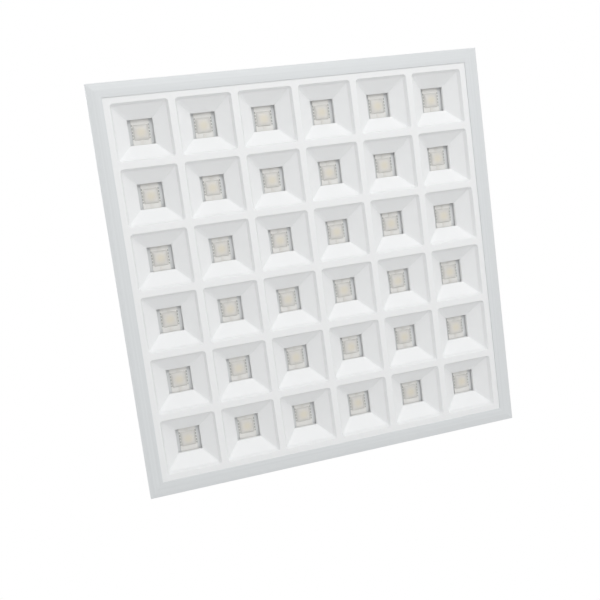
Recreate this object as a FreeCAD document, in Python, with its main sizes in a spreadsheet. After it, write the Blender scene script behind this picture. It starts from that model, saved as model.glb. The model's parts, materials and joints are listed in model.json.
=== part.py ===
"""Recessed troffer light, 600 mm ceiling module, with thirty-six deep square cells.

Millimetres. The part is drawn as it hangs: its light shines towards -Z, the rim's
room-side face is z = 0, +Z goes up into the ceiling void, and the origin is the
centre of that face. +X is the photograph's right, +Y is the photograph's bottom.
"""
import FreeCAD, Part
import math
import os
import Sketcher

Vector = FreeCAD.Vector

# Driving dimensions, in millimetres. Each one becomes an aliased cell of the sheet.
SIZES = {
    # extruded frame
    "panel_side": 595.0,
    "flange_width": 20.5,
    "flange_thickness": 1.5,
    "channel_width": 12.7,
    "channel_height": 10.0,
    "rail_wall": 1.4,
    "key_leg": 32.0,
    "key_clearance": 0.15,
    # louvre of deep cells
    "edge_margin": 9.0,
    "web_width": 10.0,
    "cell_corner": 4.5,
    "window_side": 36.5,
    "window_corner": 0.6,
    "cell_depth": 22.0,
    "louvre_wall": 1.8,
    "neck_length": 4.9,
    "louvre_clearance": 0.3,
    "boss_radius": 3.2,
    # light source
    "board_gap": 2.0,
    "board_width": 26.0,
    "board_thickness": 1.6,
    "board_end": 37.5,
    "board_rivet_offset": 9.0,
    "chip_side": 3.5,
    "chip_height": 0.7,
    "lens_side": 22.0,
    "lens_height": 3.2,
    "lens_cavity": 9.0,
    "lens_cavity_height": 1.3,
    "runner_width": 4.0,
    "runner_height": 1.0,
    # pressed back pan
    "pan_sheet": 0.8,
    "pan_inset": 1.8,
    "pan_edge_gap": 2.0,
    "pan_corner": 6.0,
    "pan_clearance": 1.0,
    "rib_width": 14.0,
    "rib_height": 1.2,
    "rib_gap": 16.0,
    # screws and rivets
    "screw_radius": 1.45,
    "screw_hole_gap": 0.25,
    "screw_thread_gap": 0.05,
    "screw_head_radius": 3.2,
    "screw_head_height": 1.8,
    "screw_grip": 5.0,
    "rivet_radius": 1.6,
    "rivet_head_radius": 3.0,
    "rivet_head_height": 0.9,
    "rivet_hole_gap": 0.1,
    # hanger brackets
    "bracket_sheet": 1.2,
    "bracket_width": 16.0,
    "bracket_bridge": 36.0,
    "bracket_foot": 12.0,
    "bracket_height": 12.0,
    "bracket_inset": 21.8,
    "hanger_inset": 83.8,
    "hanger_hole_radius": 2.75,
    # swing-out clips over the ceiling's tee bars
    "clip_sheet": 1.0,
    "clip_width": 18.0,
    "clip_foot": 11.0,
    "clip_heel": 9.0,
    "clip_reach": 42.0,
    "clip_rise": 6.0,
    "clip_inset": 15.8,
    "clip_gap": 0.2,
    "clip_pivot_radius": 2.0,
    "clip_pivot_gap": 0.05,
    "clip_head_radius": 4.4,
    "clip_head_height": 1.2,
    "clip_tail_radius": 3.2,
    # wiring box
    "tray_length": 250.0,
    "tray_width": 92.0,
    "tray_height": 28.0,
    "tray_sheet": 0.8,
    "tray_screw_end": 11.0,
    "tray_screw_side": 7.0,
    "lid_gap": 0.3,
    "lid_side_gap": 0.5,
    "lid_skirt": 4.0,
    "hinge_radius": 2.2,
    "hinge_pin_radius": 1.0,
    "hinge_pin_end": 1.0,
    "hinge_running_gap": 0.05,
    "hinge_offset": 2.6,
    "knuckle_length": 24.0,
    "knuckle_gap": 0.4,
    "latch_inset": 12.0,
    "latch_shaft_radius": 2.5,
    "latch_knob_radius": 8.0,
    "latch_knob_height": 3.5,
    "latch_slot": 2.0,
    "latch_cam_width": 6.0,
    "latch_cam_length": 10.0,
    "latch_cam_height": 1.2,
    "catch_drop": 4.0,
    "catch_width": 18.0,
    "latch_gap": 0.2,
    # cable gland and earth stud
    "gland_bore_radius": 4.25,
    "gland_thread_radius": 7.9,
    "gland_flats": 18.0,
    "gland_collar": 5.0,
    "gland_cap_radius": 8.6,
    "gland_cap_length": 10.0,
    "gland_shank": 9.0,
    "gland_nut_length": 4.0,
    "gland_height": 12.6,
    "stud_radius": 2.0,
    "stud_flats": 7.0,
    "stud_nut_height": 3.2,
    "stud_height": 11.0,
    "stud_from_end": 21.0,
    "stud_from_side": 14.0,
    # terminal block with three levers
    "block_length": 20.0,
    "block_width": 38.0,
    "block_height": 13.0,
    "pole_pitch": 12.0,
    "pole_slot": 9.6,
    "lever_width": 9.0,
    "lever_length": 14.0,
    "lever_thickness": 1.5,
    "lever_barrel_radius": 1.9,
    "lever_pin_radius": 1.0,
    "lever_pin_inset": 5.5,
    "lever_top_gap": 0.1,
    "lever_end_gap": 0.6,
    "lever_floor_gap": 0.4,
    "axle_recess": 0.2,
    "wire_entry_radius": 2.2,
    "wire_entry_depth": 9.0,
    "block_from_wall": 45.0,
    # slide switch for the light colour
    "switch_travel": 8.0,
    "knob_length": 4.0,
    "knob_height": 4.0,
    "knob_out": 3.0,
    "switch_depth": 7.0,
    "switch_wall": 1.6,
    "slider_block_length": 9.6,
    "slider_block_height": 7.0,
    "slider_block_depth": 3.4,
    "switch_gap": 0.2,
    "switch_height": 12.0,
    # driver
    "sheet_thickness": 0.4,
    "sheet_margin": 2.0,
    "driver_length": 160.0,
    "driver_width": 72.0,
    "driver_from_wall": 71.0,
    "driver_board": 1.6,
    "standoff_height": 5.0,
    "standoff_radius": 3.0,
    "standoff_inset": 6.0,
    "standoff_snap_radius": 1.4,
    "core_length": 30.0,
    "core_depth": 12.0,
    "core_height": 18.0,
    "core_leg": 8.0,
    "core_yoke": 4.0,
    "winding_gap": 0.25,
    "winding_thickness": 6.0,
    "capacitor_radius": 8.0,
    "capacitor_height": 17.0,
    "capacitor_pitch": 20.0,
    "grommet_hole_radius": 5.0,
    "grommet_flange": 1.5,
    "grommet_bore_radius": 3.5,
    "lead_radius": 0.8,
    "lead_pitch": 3.2,
    "mains_lead_radius": 1.1,
    "header_length": 7.0,
    "header_height": 6.0,
    "header_margin": 5.0,
    "header_inset": 2.0,
    "connector_side": 6.0,
    "connector_height": 3.5,
    "connector_inset": 9.5,
    "connector_margin": 0.5,
}
CELLS = 6  # cells in a row and in a column
TRAY_KNUCKLES = (-2, 0, 2)  # places of the tray's knuckles, in knuckle pitches
LID_KNUCKLES = (-1, 1)  # places of the lid's knuckles
BOARD_RIVETS = (-2, -1, 1, 2)  # places of a board's rivets, in cell pitches
FLANGE_SCREWS = (-2, 0, 2)  # places of the screws along one side of the pan
CUT_MARGIN = 1.0  # how far a cut runs past what it cuts
LENS_DRAFT = -20.0  # degrees that a lens's sides lean in
RIB_DRAFT = -40.0  # degrees that a pressed rib's sides lean in


class Size:
    """A length that carries both its number and the expression that gives it."""

    def __init__(self, number, formula):
        self.number = float(number)
        self.formula = formula

    def __add__(self, other):
        other = as_size(other)
        return Size(self.number + other.number, f"({self.formula} + {other.formula})")

    def __sub__(self, other):
        other = as_size(other)
        return Size(self.number - other.number, f"({self.formula} - {other.formula})")

    def __mul__(self, other):
        other = as_size(other)
        return Size(self.number * other.number, f"({self.formula} * {other.formula})")

    def __truediv__(self, other):
        other = as_size(other)
        return Size(self.number / other.number, f"({self.formula} / {other.formula})")

    def __radd__(self, other):
        return as_size(other) + self

    def __rsub__(self, other):
        return as_size(other) - self

    def __rmul__(self, other):
        return as_size(other) * self

    def __neg__(self):
        return as_size(0) - self


def as_size(value):
    return value if isinstance(value, Size) else Size(value, f"({float(value)})")


doc = FreeCAD.newDocument("troffer")
sheet = doc.addObject("Spreadsheet::Sheet", "sizes")
for row, (word, number) in enumerate(SIZES.items(), start=1):
    sheet.set(f"A{row}", word)
    sheet.set(f"B{row}", str(number))
    sheet.setAlias(f"B{row}", word)
doc.recompute()


def size(word):
    return Size(sheet.get(word), f"sizes.{word}")


# ---- helpers that draw and bind -------------------------------------------------

def bind(thing, name, value):
    """Gives a property its number and ties it to the sheet."""
    thing.setExpression(name, as_size(value).formula)


def new_body(label):
    body = doc.addObject("PartDesign::Body", label)
    body.Label = label
    return body


def new_sketch(body, plane="XY_Plane", offset=0.0):
    sketch = body.newObject("Sketcher::SketchObject", f"{body.Label}_sketch")
    support = [item for item in body.Origin.OriginFeatures if item.Role == plane][0]
    sketch.AttachmentSupport = [(support, "")]
    sketch.MapMode = "FlatFace"
    bind(sketch, "AttachmentOffset.Base.z", offset)
    return sketch


def tie_point(sketch, geometry, position, point):
    for kind, value in zip(("DistanceX", "DistanceY"), point):
        value = as_size(value)
        rule = sketch.addConstraint(
            Sketcher.Constraint(kind, -1, 1, geometry, position, value.number))
        sketch.setExpression(f"Constraints[{rule}]", value.formula)


def polygon(sketch, points):
    """Draws a closed outline whose corners are all tied to the sheet."""
    first = sketch.GeometryCount
    flat = [Vector(as_size(x).number, as_size(y).number, 0) for x, y in points]
    for index, start in enumerate(flat):
        sketch.addGeometry(Part.LineSegment(start, flat[(index + 1) % len(flat)]))
    for index, point in enumerate(points):
        following = first + (index + 1) % len(points)
        sketch.addConstraint(Sketcher.Constraint("Coincident", first + index, 2, following, 1))
        tie_point(sketch, first + index, 1, point)


def rectangle(sketch, low_x, low_y, high_x, high_y):
    polygon(sketch, [(low_x, low_y), (high_x, low_y), (high_x, high_y), (low_x, high_y)])


def square(sketch, reach):
    rectangle(sketch, -reach, -reach, reach, reach)


def rounded_square(sketch, reach, radius):
    """Draws a square about the origin with an arc at each corner."""
    first = sketch.GeometryCount
    flat = reach - radius
    corners = [(-flat, -reach), (flat, -reach), (reach, -flat), (reach, flat),
               (flat, reach), (-flat, reach), (-reach, flat), (-reach, -flat)]
    for index in range(4):
        start, end, after = [corners[(2 * index + step) % 8] for step in range(3)]
        middle = (end[0], after[1]) if index % 2 == 0 else (after[0], end[1])
        line, arc = first + 2 * index, first + 2 * index + 1
        sketch.addGeometry(Part.LineSegment(*[Vector(x.number, y.number, 0) for x, y in (start, end)]))
        whole = Part.Circle(Vector(middle[0].number, middle[1].number, 0), Vector(0, 0, 1), radius.number)
        sketch.addGeometry(Part.ArcOfCircle(whole, math.radians(90 * index - 90), math.radians(90 * index)))
        tie_point(sketch, line, 1, start)
        tie_point(sketch, line, 2, end)
        sketch.addConstraint(Sketcher.Constraint("Coincident", line, 2, arc, 1))
    for index in range(4):
        line, arc = first + (2 * index + 2) % 8, first + 2 * index + 1
        sketch.addConstraint(Sketcher.Constraint("Coincident", arc, 2, line, 1))
        rule = sketch.addConstraint(Sketcher.Constraint("Radius", arc, radius.number))
        sketch.setExpression(f"Constraints[{rule}]", radius.formula)


def circle(sketch, x, y, radius):
    x, y, radius = as_size(x), as_size(y), as_size(radius)
    middle = Vector(x.number, y.number, 0)
    index = sketch.addGeometry(Part.Circle(middle, Vector(0, 0, 1), radius.number))
    tie_point(sketch, index, 3, (x, y))
    rule = sketch.addConstraint(Sketcher.Constraint("Radius", index, radius.number))
    sketch.setExpression(f"Constraints[{rule}]", radius.formula)


def hexagon(sketch, x, y, flats):
    """Draws a hexagon across its flats, with two flats level."""
    corner = flats / math.sqrt(3)
    turns = [math.radians(60 * step) for step in range(6)]
    polygon(sketch, [(x + corner * math.cos(turn), y + corner * math.sin(turn)) for turn in turns])


def pad(body, sketch, length, reverse=False, middle=False, taper=None):
    feature = body.newObject("PartDesign::Pad", f"{body.Label}_pad")
    feature.Profile = sketch
    bind(feature, "Length", length)
    feature.Reversed = reverse
    if middle:
        feature.SideType = "Symmetric"
    if taper is not None:
        feature.TaperAngle = taper
    doc.recompute()
    return feature


def pocket(body, sketch, length, reverse=False, middle=False, taper=None):
    """Cuts away from the sketch's own normal, or along it where reverse is set."""
    before = body.Shape.Volume
    feature = body.newObject("PartDesign::Pocket", f"{body.Label}_pocket")
    feature.Profile = sketch
    bind(feature, "Length", length)
    feature.Reversed = reverse
    if middle:
        feature.SideType = "Symmetric"
    if taper is not None:
        feature.TaperAngle = taper
    doc.recompute()
    if body.Shape.Volume >= before:
        raise RuntimeError(f"a pocket of {body.Label} cuts nothing")
    return feature


def repeat(body, features, *directions):
    """Repeats features at the pitch of the cells, along one or two axes."""
    axes = {item.Role: item for item in body.Origin.OriginFeatures}
    pattern = body.newObject("PartDesign::LinearPattern", f"{body.Label}_pattern")
    pattern.Originals = features
    for suffix, direction in zip(("", "2"), directions):
        setattr(pattern, "Direction" + suffix, (axes[direction], [""]))
        setattr(pattern, "Occurrences" + suffix, CELLS)
        bind(pattern, "Length" + suffix, columns[-1] - columns[0])
    body.Tip = pattern
    doc.recompute()


def block(body, low, high):
    """Pads a box between two corners."""
    sketch = new_sketch(body, offset=low[2])
    rectangle(sketch, low[0], low[1], high[0], high[1])
    return pad(body, sketch, high[2] - low[2])


def discs(body, places, radius, low, high):
    """Pads one round disc at each place, from one height to another."""
    sketch = new_sketch(body, offset=low)
    for x, y in places:
        circle(sketch, x, y, radius)
    return pad(body, sketch, high - low)


def drill(body, places, radius, low, high):
    """Cuts one round hole at each place, from one height to another."""
    sketch = new_sketch(body, offset=high)
    for x, y in places:
        circle(sketch, x, y, radius)
    return pocket(body, sketch, high - low)


def turn(body, quarter):
    body.Placement = FreeCAD.Placement(Vector(0, 0, 0), FreeCAD.Rotation(Vector(0, 0, 1), 90 * quarter))


def move(body, x=0.0, y=0.0, z=0.0):
    for name, value in (("x", x), ("y", y), ("z", z)):
        bind(body, f"Placement.Base.{name}", value)


# ---- levels and places that the pieces share -------------------------------------

half = size("panel_side") / 2
visible_half = half - size("flange_width")
cell_opening = (2 * visible_half - 2 * size("edge_margin") - (CELLS - 1) * size("web_width")) / CELLS
cell_pitch = cell_opening + size("web_width")
columns = [cell_pitch * (index - (CELLS - 1) / 2) for index in range(CELLS)]

louvre_front = size("flange_thickness")
window_level = louvre_front + size("cell_depth")
neck_end = window_level + size("neck_length")
board_front = neck_end + size("board_gap")
pan_ceiling = board_front + size("board_thickness")
pan_top = pan_ceiling + size("pan_sheet")
seat = size("channel_height")
pan_inside = half - size("channel_width") - size("pan_inset")
pan_outside = pan_inside + size("pan_sheet")
skirt_half = pan_inside - size("pan_clearance")

screw_hole = size("screw_radius") + size("screw_hole_gap")
rivet_hole = size("rivet_radius") + size("rivet_hole_gap")
flange_line = half - size("channel_width") / 2

tray_floor = pan_top + size("tray_sheet")
tray_top = pan_top + size("tray_height")
tray_end = size("tray_length") / 2
tray_side = size("tray_width") / 2
tray_end_inside = tray_end - size("tray_sheet")
tray_side_inside = tray_side - size("tray_sheet")


def around(places):
    """Repeats places on all four sides of the square part."""
    turned = []
    for x, y in places:
        turned += [(x, y), (-y, x), (-x, -y), (y, -x)]
    return turned


flange_screw_places = around([(flange_line, cell_pitch * step) for step in FLANGE_SCREWS])
louvre_screw_places = around([(cell_pitch * 2, 0.0), (cell_pitch * 2, cell_pitch * 2)])
board_rivet_places = [(x + size("board_rivet_offset"), cell_pitch * step)
                      for x in columns for step in BOARD_RIVETS]
bracket_x = pan_outside - size("bracket_inset")
bracket_y = pan_outside - size("hanger_inset")
foot_line = (size("bracket_bridge") + size("bracket_foot")) / 2
bracket_places = [(bracket_x * i, bracket_y * j) for i in (-1, 1) for j in (-1, 1)]
bracket_rivet_places = [(x, y + foot_line * k) for x, y in bracket_places for k in (-1, 1)]
clip_pivot = pan_outside - size("clip_inset")
clip_places = around([(clip_pivot, 0.0)])
tray_screw_places = [((tray_end - size("tray_screw_end")) * i, (tray_side - size("tray_screw_side")) * j)
                     for i in (-1, 1) for j in (-1, 1)]
lead_x = columns[3]


# ---- extruded frame ---------------------------------------------------------------

def frame_rail(label, quarter):
    """One mitred length of painted extrusion: a flange and the box channel behind it."""
    body = new_body(label)
    wall = size("rail_wall")
    flange_back = size("flange_thickness")
    edge = -half
    inner = edge + size("flange_width")
    channel = edge + size("channel_width")
    sketch = new_sketch(body, "YZ_Plane")
    polygon(sketch, [(edge, 0.0), (inner, 0.0), (inner, flange_back), (channel, flange_back),
                     (channel, seat), (edge, seat)])
    rectangle(sketch, edge + wall, flange_back, channel - wall, seat - wall)
    pad(body, sketch, size("panel_side"), middle=True)
    mitre = new_sketch(body)
    reach = size("flange_width") + CUT_MARGIN
    over = half + CUT_MARGIN
    for side in (-1, 1):
        polygon(mitre, [(over * side, -over), (over * side, edge + reach),
                        ((half - reach) * side, edge + reach)])
    pocket(body, mitre, 4 * seat, middle=True)
    places = [(cell_pitch * step, -flange_line) for step in FLANGE_SCREWS]
    drill(body, places, size("screw_radius") + size("screw_thread_gap"), seat - wall, seat)
    turn(body, quarter)


def corner_key(label, quarter):
    """The L-shaped key that slides into two rails and holds their mitre."""
    body = new_body(label)
    slack = size("rail_wall") + size("key_clearance")
    near = -half + slack
    far = -half + size("channel_width") - slack
    tip = -half + size("channel_width") + size("key_leg")
    low = size("flange_thickness") + size("key_clearance")
    sketch = new_sketch(body, offset=low)
    polygon(sketch, [(near, near), (tip, near), (tip, far), (far, far), (far, tip), (near, tip)])
    pad(body, sketch, seat - slack - low)
    turn(body, quarter)


# ---- louvre -----------------------------------------------------------------------

def outline(half_side, corner, level, middle=(0.0, 0.0)):
    """A square wire with rounded corners, at one level."""
    a, r = half_side, corner
    bend = r * (1 - math.sqrt(0.5))
    edges = []
    for quarter in range(4):
        spin = FreeCAD.Rotation(Vector(0, 0, 1), 90 * quarter)
        ends = [(r - a, -a), (a - r, -a), (a - bend, bend - a), (a, r - a)]
        start, end, arc, after = [
            spin.multVec(Vector(x, y, 0)) + Vector(middle[0], middle[1], level) for x, y in ends]
        edges.append(Part.LineSegment(start, end).toShape())
        edges.append(Part.Arc(end, arc, after).toShape())
    return Part.Wire(edges)


def ring(radius, level, middle):
    edge = Part.Circle(Vector(middle[0], middle[1], level), Vector(0, 0, 1), radius).toShape()
    return Part.Wire([edge])


def wall(first, second):
    """The faces that run straight from one wire to the next."""
    return Part.makeLoft([first, second], False, True).Faces


def holed_face(wires):
    """A flat face inside the first wire, with the other wires as its holes."""
    return Part.makeFace(wires, "Part::FaceMakerBullseye")


def louvre_grid():
    """One moulding: a front plate, thirty-six funnels with necks, a skirt and screw bosses.

    Boolean cuts of thirty-six tapered cells take minutes, so its skin is sewn from faces.
    """
    thick = size("louvre_wall").number
    front = louvre_front.number
    back = front + thick
    window_at = window_level.number
    neck_at = neck_end.number
    opening = cell_opening.number / 2
    window = size("window_side").number / 2
    corner = size("cell_corner").number
    small = size("window_corner").number
    plate = (half - size("channel_width") - size("louvre_clearance")).number
    skirt = skirt_half.number
    bend = size("pan_corner").number
    skirt_top = neck_at
    boss = size("boss_radius").number
    bore = (size("screw_radius") + size("screw_thread_gap")).number
    boss_top = pan_ceiling.number
    bore_floor = boss_top - 2 * size("screw_grip").number

    mouths = []
    roots = []
    faces = []
    for x in columns:
        for y in columns:
            middle = (x.number, y.number)
            mouth = outline(opening, corner, front, middle)
            inner_window = outline(window, small, window_at, middle)
            inner_neck = outline(window, small, neck_at, middle)
            outer_neck = outline(window + thick, small + thick, neck_at, middle)
            outer_window = outline(window + thick, small + thick, window_at, middle)
            root = outline(opening + thick / 3, corner + thick / 3, back, middle)
            mouths.append(mouth)
            roots.append(root)
            faces += wall(mouth, inner_window) + wall(inner_window, inner_neck)
            faces += [holed_face([outer_neck, inner_neck])]
            faces += wall(outer_neck, outer_window) + wall(outer_window, root)
    for x, y in louvre_screw_places:
        middle = (as_size(x).number, as_size(y).number)
        foot, top = ring(boss, back, middle), ring(boss, boss_top, middle)
        rim, floor = ring(bore, boss_top, middle), ring(bore, bore_floor, middle)
        roots.append(foot)
        faces += wall(foot, top) + [holed_face([top, rim])] + wall(rim, floor) + [Part.Face(floor)]
    plate_front, plate_back = outline(plate, small, front), outline(plate, small, back)
    skirt_foot, skirt_rim = outline(skirt, bend, back), outline(skirt, bend, skirt_top)
    inner_foot = outline(skirt - thick, bend - thick, back)
    inner_rim = outline(skirt - thick, bend - thick, skirt_top)
    faces += [holed_face([plate_front] + mouths)]
    faces += wall(plate_front, plate_back)
    faces += [holed_face([plate_back, skirt_foot])]
    faces += wall(skirt_foot, skirt_rim)
    faces += [holed_face([skirt_rim, inner_rim])]
    faces += wall(inner_rim, inner_foot)
    faces += [holed_face([inner_foot] + roots)]
    skin = Part.Shell(faces)
    skin.sewShape()
    solid = Part.makeSolid(skin.Shells[0] if skin.ShapeType != "Shell" else skin)
    if solid.Volume < 0:
        solid.reverse()
    feature = doc.addObject("Part::Feature", "louvre_grid")
    feature.Label = "louvre_grid"
    feature.Shape = solid
    feature.Placement = FreeCAD.Placement()


# ---- light source -----------------------------------------------------------------

def led_board(label, x):
    """One aluminium-backed strip that carries a light above each cell of its column."""
    body = new_body(label)
    width = size("board_width") / 2
    length = columns[-1] + size("board_end")
    block(body, (-width, -length, board_front), (width, length, pan_ceiling))
    places = [(size("board_rivet_offset"), cell_pitch * step) for step in BOARD_RIVETS]
    drill(body, places, rivet_hole, board_front, pan_ceiling)
    move(body, x=x)


def led_chips():
    body = new_body("led_chips")
    chip = size("chip_side") / 2
    x = y = columns[0]
    first = block(body, (x - chip, y - chip, board_front - size("chip_height")), (x + chip, y + chip, board_front))
    repeat(body, [first], "X_Axis", "Y_Axis")


def lens_strip(label, x):
    """A frosted moulding with one square lens for each light, joined by thin runners."""
    body = new_body(label)
    lens = size("lens_side") / 2
    runner = size("runner_width") / 2
    cavity = size("lens_cavity") / 2
    first, last = columns[0], columns[-1]
    block(body, (-runner, first, board_front - size("runner_height")), (runner, last, board_front))
    sketch = new_sketch(body, offset=board_front)
    rectangle(sketch, -lens, first - lens, lens, first + lens)
    dome = pad(body, sketch, size("lens_height"), reverse=True, taper=LENS_DRAFT)
    repeat(body, [dome], "Y_Axis")
    sketch = new_sketch(body, offset=board_front)
    for y in columns:
        rectangle(sketch, -cavity, y - cavity, cavity, y + cavity)
    pocket(body, sketch, size("lens_cavity_height"))
    move(body, x=x)


# ---- back pan ---------------------------------------------------------------------

def rib_spans():
    """The long pressed ribs as (x, low y, high y), clear of the wiring box."""
    clear = tray_side + size("rib_gap")
    long_end = columns[-1] + size("rib_gap")
    short_end = cell_pitch * 2 - size("rib_gap") - size("boss_radius")
    near_end = size("rib_gap") + size("boss_radius") * 2
    spans = []
    for side in (-1, 1):
        for x, low, high in ((-cell_pitch, clear, long_end), (cell_pitch, clear, long_end),
                             (as_size(0), clear, short_end),
                             (-cell_pitch * 2, near_end, short_end), (cell_pitch * 2, near_end, short_end)):
            spans.append((x, low * side, high * side))
    return spans


def back_pan():
    """The pressed steel tray that closes the back and carries the boards and the wiring box."""
    body = new_body("back_pan")
    thick = size("pan_sheet")
    sketch = new_sketch(body, offset=seat)
    rounded_square(sketch, pan_outside, size("pan_corner") + thick)
    pad(body, sketch, pan_top - seat)
    sketch = new_sketch(body, offset=seat)
    square(sketch, half - size("pan_edge_gap"))
    pad(body, sketch, thick)
    sketch = new_sketch(body, offset=pan_top)
    for x, low, high in rib_spans():
        rectangle(sketch, x - size("rib_width") / 2, low, x + size("rib_width") / 2, high)
    pad(body, sketch, size("rib_height"), taper=RIB_DRAFT)
    hollow = new_sketch(body, offset=pan_ceiling)
    rounded_square(hollow, pan_inside, size("pan_corner"))
    pocket(body, hollow, pan_ceiling - seat)
    under = new_sketch(body, offset=pan_ceiling)
    edge = size("rib_width") / 2 - thick
    for x, low, high in rib_spans():
        turned = thick if high.number > low.number else -thick
        rectangle(under, x - edge, low + turned, x + edge, high - turned)
    pocket(body, under, size("rib_height"), reverse=True, taper=RIB_DRAFT)
    drill(body, flange_screw_places, screw_hole, seat, seat + thick)
    drill(body, louvre_screw_places, screw_hole, pan_ceiling, pan_top)
    drill(body, board_rivet_places + bracket_rivet_places, rivet_hole, pan_ceiling, pan_top)
    drill(body, clip_places, size("clip_pivot_radius") + size("rivet_hole_gap"), pan_ceiling, pan_top)
    drill(body, tray_screw_places, screw_hole, pan_ceiling, pan_top)
    drill(body, [(lead_x, 0.0)], size("grommet_hole_radius"), pan_ceiling, pan_top)


def screws(label, places, under_head, grip):
    body = new_body(label)
    discs(body, places, size("screw_radius"), under_head - grip, under_head)
    discs(body, places, size("screw_head_radius"), under_head, under_head + size("screw_head_height"))


def rivets(label, places, low, high):
    """Blind rivets: a domed head above the sheets and a set tail below them."""
    body = new_body(label)
    head = size("rivet_head_height")
    discs(body, places, size("rivet_radius"), low, high)
    discs(body, places, size("rivet_head_radius"), high, high + head)
    discs(body, places, (size("rivet_radius") + size("rivet_head_radius")) / 2, low - head, low)


def hanger_bracket(label, x, y):
    """A bridge of steel strip with a hole for the hanger's wire grip or threaded rod."""
    body = new_body(label)
    thick = size("bracket_sheet")
    bridge = size("bracket_bridge") / 2
    toe = bridge + size("bracket_foot")
    low = pan_top
    top = pan_top + size("bracket_height")
    sketch = new_sketch(body, "YZ_Plane")
    polygon(sketch, [(-toe, low), (thick - bridge, low), (thick - bridge, top - thick),
                     (bridge - thick, top - thick), (bridge - thick, low), (toe, low), (toe, low + thick),
                     (bridge, low + thick), (bridge, top), (-bridge, top), (-bridge, low + thick),
                     (-toe, low + thick)])
    pad(body, sketch, size("bracket_width"), middle=True)
    drill(body, [(0.0, foot_line), (0.0, -foot_line)], rivet_hole, low, low + thick)
    drill(body, [(0.0, 0.0)], size("hanger_hole_radius"), top - thick, top)
    move(body, x=x, y=y)


def tbar_clip(label, quarter):
    """A cranked steel arm that swings out over the web of a ceiling tee bar."""
    body = new_body(label)
    thick = size("clip_sheet")
    low = pan_top + size("clip_gap")
    crank = size("clip_foot")
    high = low + size("clip_rise") + thick
    sketch = new_sketch(body, "YZ_Plane", offset=clip_pivot)
    polygon(sketch, [(-size("clip_heel"), low), (crank, low), (crank, high - thick), (size("clip_reach"), high - thick),
                     (size("clip_reach"), high), (crank - thick, high), (crank - thick, low + thick),
                     (-size("clip_heel"), low + thick)])
    pad(body, sketch, size("clip_width"), middle=True)
    drill(body, [(clip_pivot, 0.0)], size("clip_pivot_radius") + size("clip_pivot_gap"), low, low + thick)
    turn(body, quarter)


def clip_rivets():
    body = new_body("clip_rivets")
    low = pan_ceiling
    high = pan_top + 2 * size("clip_gap") + size("clip_sheet")
    head = size("clip_head_height")
    discs(body, clip_places, size("clip_pivot_radius"), low, high)
    discs(body, clip_places, size("clip_head_radius"), high, high + head)
    discs(body, clip_places, size("clip_tail_radius"), low - head, low)


# ---- wiring box -------------------------------------------------------------------

lid_low = tray_top + size("lid_gap")
lid_high = lid_low + size("tray_sheet")
hinge_y = -tray_side - size("hinge_offset")
hinge_z = (lid_low + lid_high) / 2
knuckle_pitch = size("knuckle_length") + size("knuckle_gap")
latch_y = tray_side - size("latch_inset")
catch_low = tray_top - size("catch_drop") - size("tray_sheet")
cam_high = catch_low - size("latch_gap")
cam_low = cam_high - size("latch_cam_height")
gland_z = tray_floor + size("gland_height")
switch_z = tray_floor + size("switch_height")
slider_half = size("slider_block_length") / 2
channel_half = slider_half + size("switch_travel") / 2 + size("switch_gap")
slider_rest = -size("switch_travel") / 2


def knuckles(body, steps, radius, hole):
    """Adds hinge barrels along the rear edge and drills them for the pin."""
    for step in steps:
        sketch = new_sketch(body, "YZ_Plane", offset=knuckle_pitch * step)
        circle(sketch, hinge_y, hinge_z, radius)
        pad(body, sketch, size("knuckle_length"), middle=True)
    sketch = new_sketch(body, "YZ_Plane")
    circle(sketch, hinge_y, hinge_z, hole)
    pocket(body, sketch, size("tray_length"), middle=True)


def driver_tray():
    """The folded steel tray on the pan that holds the driver and the terminals."""
    body = new_body("driver_tray")
    thick = size("tray_sheet")
    block(body, (-tray_end, -tray_side, pan_top), (tray_end, tray_side, tray_top))
    sketch = new_sketch(body, offset=tray_top)
    rectangle(sketch, -tray_end_inside, -tray_side_inside, tray_end_inside, tray_side_inside)
    pocket(body, sketch, tray_top - tray_floor)
    tab = size("knuckle_length") / 2
    for step in TRAY_KNUCKLES:
        middle = knuckle_pitch * step
        block(body, (middle - tab, -tray_side - thick, hinge_z - 4 * size("hinge_radius")),
              (middle + tab, -tray_side, hinge_z))
    knuckles(body, TRAY_KNUCKLES, size("hinge_radius"),
             size("hinge_pin_radius") + size("hinge_running_gap"))
    catch_edge = latch_y + size("latch_cam_width") / 2 + thick
    block(body, (-size("catch_width") / 2, catch_edge, catch_low),
          (size("catch_width") / 2, tray_side_inside, catch_low + thick))
    gland_hole = new_sketch(body, "YZ_Plane", offset=-tray_end)
    circle(gland_hole, 0.0, gland_z, size("gland_thread_radius") + size("rivet_hole_gap"))
    pocket(body, gland_hole, thick, reverse=True)
    slot = new_sketch(body, "YZ_Plane", offset=tray_end)
    slot_half = (size("knob_length") + size("switch_travel")) / 2 + size("lid_gap")
    slot_high = size("knob_height") / 2 + size("lid_gap")
    rectangle(slot, -slot_half, switch_z - slot_high, slot_half, switch_z + slot_high)
    pocket(body, slot, thick)
    drill(body, tray_screw_places, screw_hole, pan_top, tray_floor)
    drill(body, [(lead_x, 0.0)], size("grommet_hole_radius"), pan_top, tray_floor)


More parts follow.
